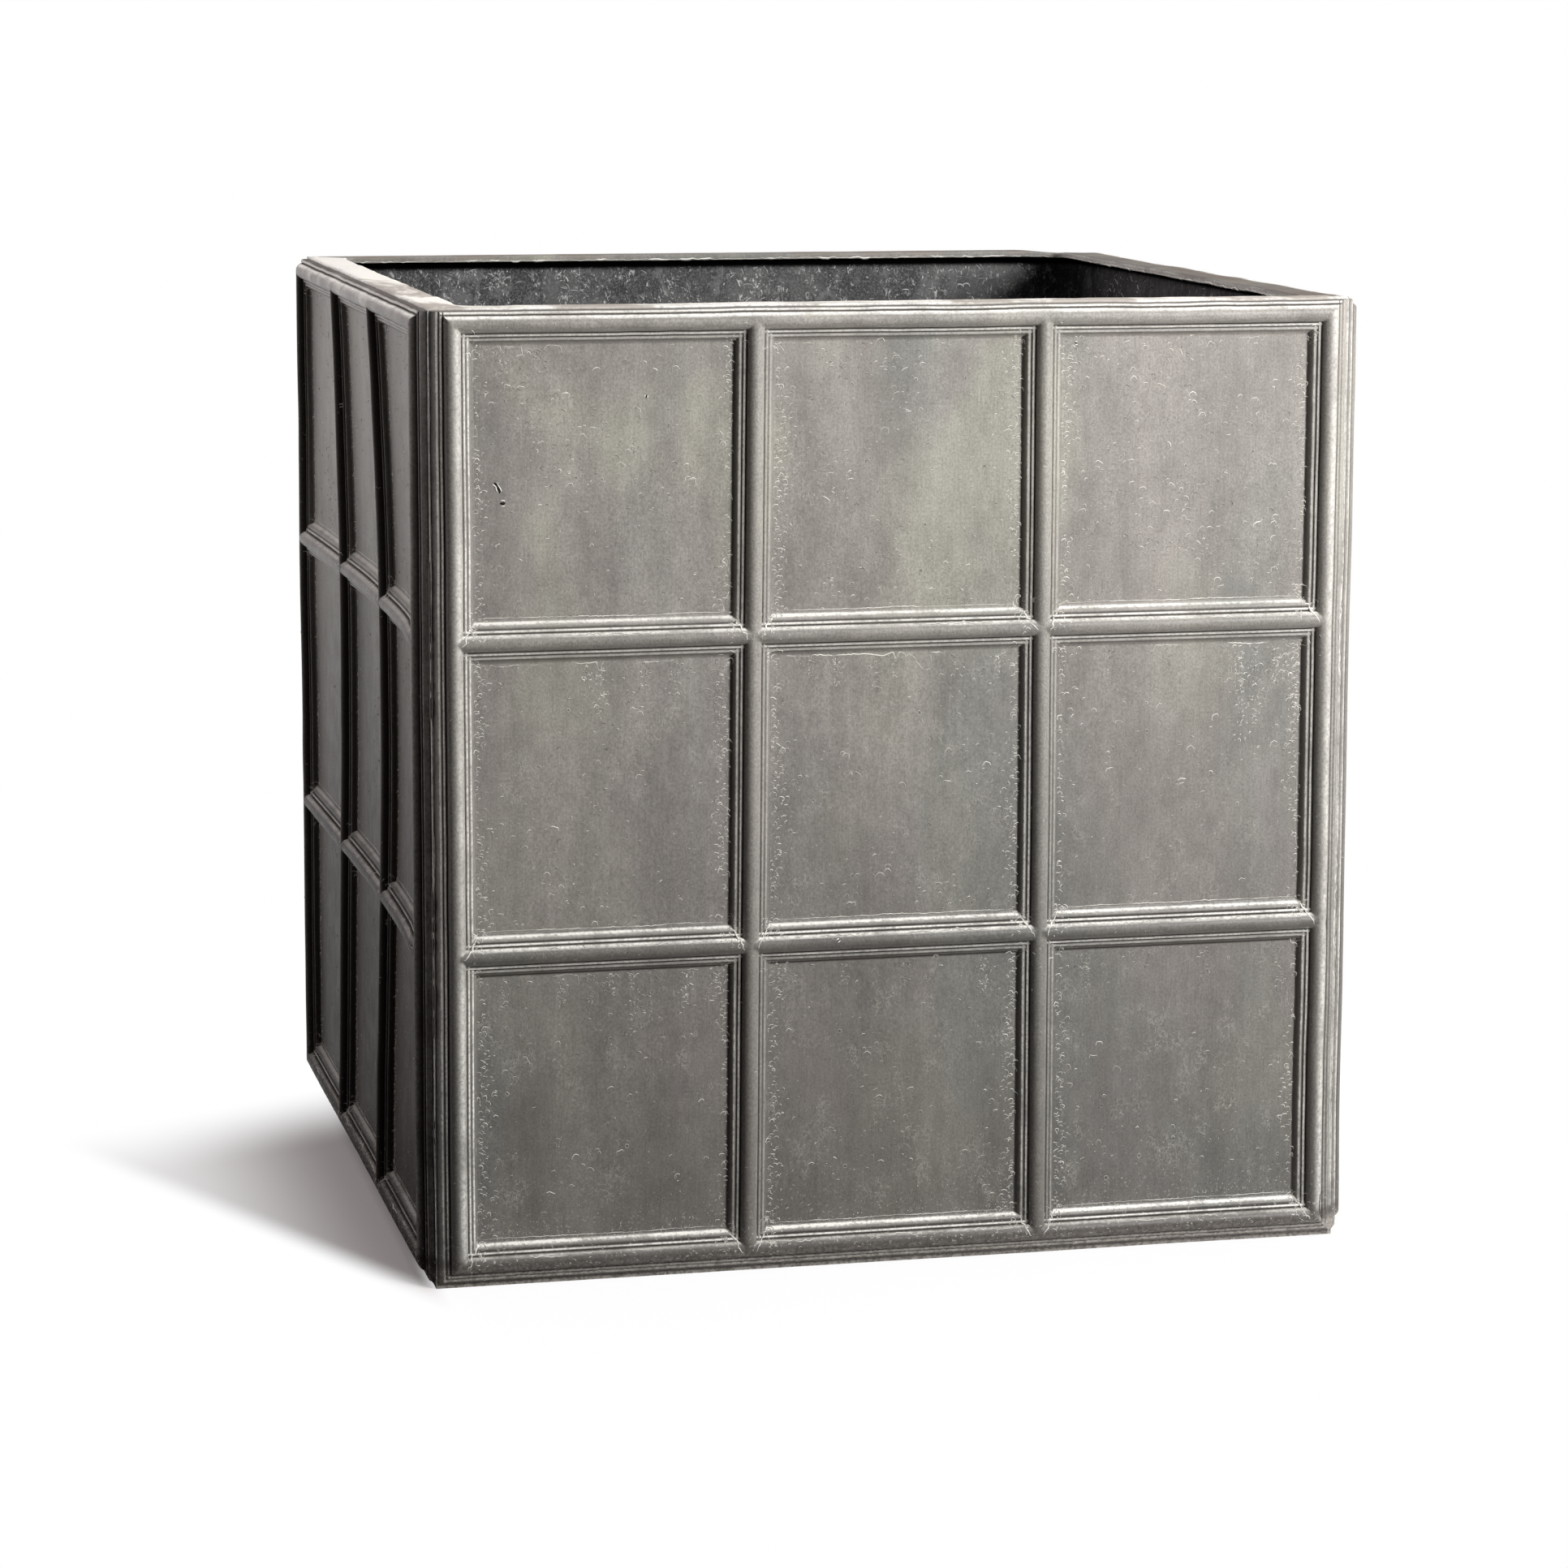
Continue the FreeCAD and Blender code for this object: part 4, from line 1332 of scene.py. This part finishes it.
def shell_material():
    """Faux lead: brushed upright, pale where it is worn and where highlights are painted, dark in its grooves
    and where shade is painted, and soiled round its foot.
    """
    material, place = new_material("patinated_shell")
    names = ("groove_wash_and_shade", "rubbed_and_highlit", "rib", "rail", "painted_shade")
    groove_wash_and_shade, rubbed_and_highlit, rib, rail, painted_shade = (share_of(place, name) for name in names)
    facing = axes(node("ShaderNodeNewGeometry", tree=place.id_data).outputs["Normal"])[2]
    height = axes(place)[2]
    clouds = [noised(place, 9, (1, 1, 0.3), 3, 0.55), noised(place, 16, (1.3, 1.3, 0.35), 3, 0.5, 0.3)]
    bands = noised(place, 42, (1, 1, 0.05), 3, 0.5)
    mottle = noised(place, 110, (1, 1, 0.6), 5, 0.65)
    streaks = noised(place, 900, (1, 1, 0.04), 2, 0.6)
    grain = noised(place, 760, (1, 1, 0.8), 3, 0.75)
    worn = noised(place, 150, (1, 1, 1), 6, 0.7)
    ragged = noised(place, 420, (1, 1, 1), 4, 0.7)
    shades = [(mottle, 0.08), (streaks, 0.05), (grain, 0.20), (bands, 0.07), (clouds[1], 0.10)]
    colour = clouded_paint(place, height, clouds, shades)

    # Fine wrinkles of the patina, in clusters
    wrinkle = maths("ABSOLUTE", maths("SUBTRACT", noised(place, 300, (1, 1, 0.8), 3, 0.6), 0.5))
    cluster = ramped(noised(place, 55, (1, 1, 0.7), 4, 0.65), 0.5, 0.66)
    wrinkled = times(ramped(wrinkle, 0.05, 0.012), cluster)
    colour = mixed(times(wrinkled, 0.3), colour, (0.50, 0.48, 0.43))
    # Brushed ribs, pale on the crests of their reeds: worn paint, and painted highlights where the light
    # falls
    brushed = times(rib, ramped(ragged, 0.3, 0.7, 0.45, 0.75))
    colour = mixed(brushed, colour, rib_paint(place, height, grain, rail))
    rubbed_and_lit = times(rubbed_and_highlit, ramped(ragged, 0.34, 0.6, 0.5, 1.25))
    rubbed_and_lit = times(rubbed_and_lit, ramped(noised(place, 30, (1, 1, 1), 4, 0.6), 0.35, 0.58, 0.55, 1.1), True)
    colour = mixed(rubbed_and_lit, colour, (0.91, 0.89, 0.83))
    # Brown stains on the rim
    stained = times(ramped(height, *rim_stain_heights),
                    ramped(noised(place, 20, (1, 0.3, 1), 4, 0.6, 0.4), 0.47, 0.60, 0, 0.8))
    colour = mixed(stained, colour, (0.34, 0.30, 0.26))
    # Dark patina in the grooves, with painted shade on the ribs' sides away from the light and on what faces
    # down
    under = times(ramped(facing, -0.2, -0.8, 0, 0.15), rest(rubbed_and_lit))
    colour = mixed(maths("MAXIMUM", times(groove_wash_and_shade, 0.8), under, True), colour, (0.026, 0.0195, 0.017))
    # Splashed soil round the foot, with pale specks in it
    soiled = times(ramped(height, *soil_heights, 0, 0.92), ramped(worn, 0.35, 0.6, 0.7, 1))
    soil = mixed(ramped(height, *pale_soil_heights), (0.118, 0.106, 0.096), (0.42, 0.388, 0.352))
    soil = mixed(ramped(ragged, 0.42, 0.6, 0, 0.7), soil, (0.07, 0.06, 0.052))
    colour = mixed(soiled, colour, soil)
    # Painted shade: the left side, its uprights and the right and back lips darkened nearly to black
    colour = mixed(painted_shade, colour, (0.004, 0.0, 0.001))
    specks = ramped(noised(place, 480, (1, 1, 1), 2, 0.5), 0.64, 0.70)
    colour = mixed(times(specks, times(ramped(height, *speck_heights), 0.6)), colour, (0.58, 0.56, 0.50))
    bump = times(worn, 0.9)
    for value, share in ((streaks, 0.10), (grain, 0.16), (wrinkled, 0.25)):
        bump = maths("ADD", bump, times(value, share))
    # Where shade is painted the gloss is taken away too, and the lip's top is chalky
    unshaded = rest(times(painted_shade, 1.33), True)
    specular = times(maths("POWER", unshaded, 2.6), ramped(facing, 0.85, 0.97, 0.45, 0.1))
    rough = maths("MAXIMUM", ramped(mottle, 0.3, 0.7, 0.36, 0.50), ramped(facing, 0.85, 0.97, 0, 0.85))
    finished(colour, rough, bump, shell_bump, specular, 0.8)
    return material


def fleck_material():
    """Raised flecks of the patina, with a painted highlight on their upper side and painted shade below, and
    darker towards the foot.
    """
    material, place = new_material("patina_flecks")
    wear_and_light = share_of(place, "wear_and_light")
    worn = noised(place, 260, (1, 1, 1), 4, 0.6)
    lit = times(wear_and_light, ramped(worn, 0.35, 0.65, 0.7, 1.15), True)
    colour = mixed(ramped(lit, 0.0, 0.35), (0.10, 0.092, 0.084), (0.34, 0.32, 0.29))
    colour = mixed(ramped(lit, 0.35, 0.95), colour, (0.90, 0.88, 0.81))
    colour = shaded(colour, ramped(axes(place)[2], 0.0, body_height, 0.72, 1.0))
    finished(colour, 0.5, worn, bead_bump, ramped(wear_and_light, 0.0, 0.5, 0.15, 0.5))
    return material


def strand_material():
    material, place = new_material("bare_strands")
    fibre = noised(place, 900, (1, 1, 1), 2, 0.6)
    # Painted highlight on each strand's upper side and painted shade below, from its section
    lit = times(share_of(place, "wear_and_light"), ramped(fibre, 0.3, 0.7, 0.6, 1.1), True)
    finished(mixed(lit, (0.14, 0.14, 0.14), (0.86, 0.85, 0.83)), 0.45, fibre, bead_bump)
    return material


def pit_shade_material():
    # Painted shade: near black, for the shadowed hollows of nicks and pits
    material, place = new_material("pits")
    worn = noised(place, 300, (1, 1, 1), 3, 0.6)
    finished(mixed(worn, (0.010, 0.009, 0.008), (0.03, 0.026, 0.022)), 0.85, worn, bead_bump, 0.2)
    return material


def inner_material(name, seed, shade_share=1.0):
    """Rough dark laminate with pale scuffs where resin has chipped off the glass, darkened by shade_share as
    painted shade, with a painted shadow just under the lip.
    """
    material, place = new_material(name)
    up = axes(place)[2]
    place = vector_maths("ADD", place, (seed, seed, seed))[0]
    weave = noised(place, 130, (1, 1, 1), 6, 0.72, 0.5)
    strands = noised(place, 240, (1, 1, 0.6), 4, 0.75, 1.6)
    colour = mixed(ramped(weave, 0.3, 0.72), (0.020, 0.019, 0.021), (0.074, 0.073, 0.074))
    # Speckle, stains and blotches, each paler than the resin
    for value, low, high, most, pale in (
            (noised(place, 620, (1, 1, 1), 3, 0.7), 0.46, 0.66, 0.5, (0.30, 0.295, 0.29)),
            (noised(place, 20, (1, 1, 0.8), 4, 0.6), 0.42, 0.66, 0.6, (0.20, 0.197, 0.19)),
            (noised(place, 48, (1, 1, 0.7), 3, 0.6, 0.8), 0.50, 0.68, 0.5, (0.25, 0.247, 0.243))):
        colour = mixed(ramped(value, low, high, 0, most), colour, pale)
    patches = noised(place, 75, (1, 1, 1), 5, 0.7, 0.8)
    scuffs = times(ramped(strands, 0.53, 0.63), ramped(patches, 0.47, 0.58))
    colour = mixed(times(scuffs, 0.95), colour, (0.74, 0.735, 0.72))
    # Painted shade: the whole colour darkened by shade_share
    colour = mixed(1.0, colour, (shade_share, shade_share, shade_share), "MULTIPLY")
    # Painted shadow in a band just under the lip, where it also loses its gloss
    lip_shadow = times(ramped(up, *lip_shadow_low_heights), ramped(up, *lip_shadow_high_heights))
    colour = mixed(lip_shadow, colour, (0.003, 0.003, 0.003))
    bump = maths("ADD", weave, times(strands, 0.4))
    rough = ramped(weave, 0.3, 0.7, 0.42, 0.75)
    finished(colour, rough, bump, inner_bump, ramped(lip_shadow, 0, 1, 0.5, 0.0))
    return material


shell = shell_material()
inner = inner_material("inner_coat", 0.0)
# The right side's inside gets a darker copy as painted shade, where the light doesn't reach
inner_shaded = inner_material("inner_coat_shaded", 1.9, 0.4)
mat = inner_material("inner_mat", 3.7)
fleck = fleck_material()
pit_shade = pit_shade_material()
strand = strand_material()

for quarter, side in enumerate(SIDES):
    wall_piece(side, shell, inner_shaded if side == "right" else inner)
    for part, groups in Patina(side).parts.items():
        joined_piece(side + "_" + part, groups, fleck)
    joined_piece(side + "_wall_pit_shade", pit_shade_beads(side), pit_shade)
    joined_piece(side + "_bare_strands", strand_beads(side), strand)
    corner = CORNERS[quarter]
    mat_piece("corner_mat_" + corner, corner_leg, corner_mat_rows, corner_lay(quarter),
              "corner_laminate_" + corner, mat, 130 + 10 * quarter)
    mat_piece("base_mat_" + side, base_leg, base_mat_rows, foot_lay(side),
              "base_laminate_" + side, mat, 170 + 10 * quarter)
    patch_piece(corner, quarter, mat, 210 + 10 * quarter)

base_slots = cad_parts["base_panel"].data.materials
base_slots.clear()
base_slots.append(inner)


# Stage, light and camera

floor_half_width = 14.0
# The shadow's two far edges: a place on each, the direction out of it, and where it fades
shadow_edges = [((-0.296, -0.279, 0), (-0.911, -0.412, 0), (-0.004, 0.030)),
                ((-0.299, 0.222, 0), (-0.461, 0.887, 0), (-0.125, 0.026))]
# Where the floor turns white: distance from the middle, then X beside the left side and Y before the front
shadow_reach = (0.50, 0.56)
shadow_thinning = (-half_body - relief_height, -0.455)
beside_left = (-0.25, -0.285)
before_left = (-0.303, -0.288)
before_front = (-0.2, -0.29)
bounce_width = (-0.45, 0.4)
behind_floor = (-0.5, 0.3)
back_left_direction = (-0.75, 0.66, 0.05)

# Lamps: degrees to the right of the front and up, distance, target, size and power
lamps = {
    "key": (40, 22, 2.4, (0.0, -0.15, 0.3), 1.15, 70),
    "overhead": (42, 80, 2.0, (0.0, 0.0, 0.6), 1.0, 22),
}

# Camera: the photo's side, focal length and optical middle in pixels, its place, and yaw, pitch and roll
photo_side = 1932.0
focal_length = 5499.4
optical_middle = (971.8, 811.3)
film_width = 36.0
far_clip = 60.0
camera_place = (-0.6958, -2.9749, 0.7876)
camera_angles = (13.148, 8.201, 0.151)


def placed_item(name, data):
    item = bpy.data.objects.new(name, data)
    bpy.context.scene.collection.objects.link(item)
    return item


def seen_share(tree, behind):
    """1 for what the camera sees, and the share behind for what is mirrored, with the camera's own rays."""
    rays = node("ShaderNodeLightPath", tree=tree).outputs
    mirrored = maths("MAXIMUM", rays["Is Glossy Ray"], rays["Is Transmission Ray"])
    return maths("MAXIMUM", rays["Is Camera Ray"], times(mirrored, behind)), rays["Is Camera Ray"]


def floor_material():
    """White outside the shadow. The shadow beside the left side thins outwards and ends along two lines."""
    material, place = new_material("floor")
    tree = place.id_data
    distance = node("ShaderNodeVectorMath", {0: place}, operation="LENGTH").outputs["Value"]
    x, y, _ = axes(place)
    beside = ramped(x, *beside_left)
    fades = [ramped(x, *shadow_thinning, 0.04, 0.62)]
    for through, outward, fading in shadow_edges:
        offset = vector_maths("SUBTRACT", place, through)[0]
        fades.append(ramped(vector_maths("DOT_PRODUCT", offset, outward)["Value"], *fading))
    kept = times(1.0, rest(ramped(distance, *shadow_reach)))
    for fade in fades:
        kept = times(kept, rest(times(fade, beside)))
    kept = times(kept, rest(times(ramped(y, *before_front, 0, 0.95), ramped(x, *before_left))))
    bounced = mixed(ramped(x, *bounce_width), (0.03, 0.028, 0.028), (0.36, 0.345, 0.345))
    seen, _ = seen_share(tree, ramped(y, *behind_floor))
    bare = mixed(beside, (0.95, 0.95, 0.95), (0.88, 0.825, 0.825))
    diffuse = node("ShaderNodeBsdfDiffuse", {"Color": mixed(seen, bounced, bare)})
    white = node("ShaderNodeEmission", {"Color": (1, 1, 1, 1), "Strength": 1.0}, tree)
    blend = node("ShaderNodeMixShader", {0: times(rest(kept), seen), 1: diffuse.outputs[0],
                                         2: white.outputs[0]})
    node("ShaderNodeOutputMaterial", {"Surface": blend.outputs[0]})
    return material


def build_floor():
    mesh = bpy.data.meshes.new("floor")
    size = floor_half_width
    corners = [(-size, -size, 0), (size, -size, 0), (size, size, 0), (-size, size, 0)]
    mesh.from_pydata(corners, [], [(0, 1, 2, 3)])
    placed_item("floor", mesh)
    mesh.materials.append(floor_material())


def build_world():
    """White where the camera looks and behind, with soft light from the back and a little from above."""
    world = bpy.data.worlds.new("studio")
    bpy.context.scene.world = world
    tree = emptied_tree(world)
    direction = node("ShaderNodeTexCoord", tree=tree).outputs["Generated"]
    right, back, up = axes(direction)
    seen, camera_ray = seen_share(tree, ramped(back, -0.3, 0.2))
    above = times(ramped(up, 0.35, 1.0, 0.01, 0.34), ramped(right, -0.6, 0.3, 0.3, 1.0))
    light = maths("MAXIMUM", ramped(back, 0.1, 0.8, 0.02, 0.9), above)
    back_left = vector_maths("DOT_PRODUCT", direction, back_left_direction)["Value"]
    light = maths("ADD", light, ramped(back_left, 0.74, 0.98, 0, 1.75))
    level = node("ShaderNodeMix", {0: seen, 2: light, 3: 1.0}, data_type="FLOAT").outputs[0]
    tint = mixed(camera_ray, (1.0, 0.93, 0.935), (1.0, 1.0, 1.0))
    background = node("ShaderNodeBackground", {"Color": tint, "Strength": level})
    node("ShaderNodeOutputWorld", {"Surface": background.outputs[0]})


def area_lamp(name, azimuth, elevation, distance, target, size, power):
    """Soft lamp, azimuth degrees to the right of the front and elevation degrees up from its target."""
    turn, rise = math.radians(azimuth), math.radians(elevation)
    away = Vector((math.sin(turn) * math.cos(rise), -math.cos(turn) * math.cos(rise), math.sin(rise)))
    lamp = bpy.data.lights.new(name, "AREA")
    lamp.shape = "DISK"
    lamp.size = size
    lamp.energy = power
    item = placed_item(name, lamp)
    item.location = Vector(target) + away * distance
    item.rotation_euler = away.to_track_quat("Z", "Y").to_euler()


def build_camera():
    camera = bpy.data.cameras.new("camera")
    camera.sensor_width = film_width
    camera.lens = focal_length / photo_side * film_width
    camera.shift_x = (photo_side / 2 - optical_middle[0]) / photo_side
    camera.shift_y = (optical_middle[1] - photo_side / 2) / photo_side
    camera.clip_end = far_clip
    yaw, pitch, roll = (math.radians(angle) for angle in camera_angles)
    ahead = Vector((math.sin(yaw) * math.cos(pitch), math.cos(yaw) * math.cos(pitch), -math.sin(pitch)))
    level = Vector((math.cos(yaw), -math.sin(yaw), 0))
    over = level.cross(ahead)
    right = level * math.cos(roll) + over * math.sin(roll)
    up = over * math.cos(roll) - level * math.sin(roll)
    item = placed_item("camera", camera)
    item.matrix_world = Matrix.Translation(camera_place) @ Matrix((right, up, -ahead)).transposed().to_4x4()
    bpy.context.scene.camera = item


build_floor()
build_world()
for name, settings in lamps.items():
    area_lamp(name, *settings)
build_camera()
bpy.context.scene.view_settings.view_transform = "Standard"
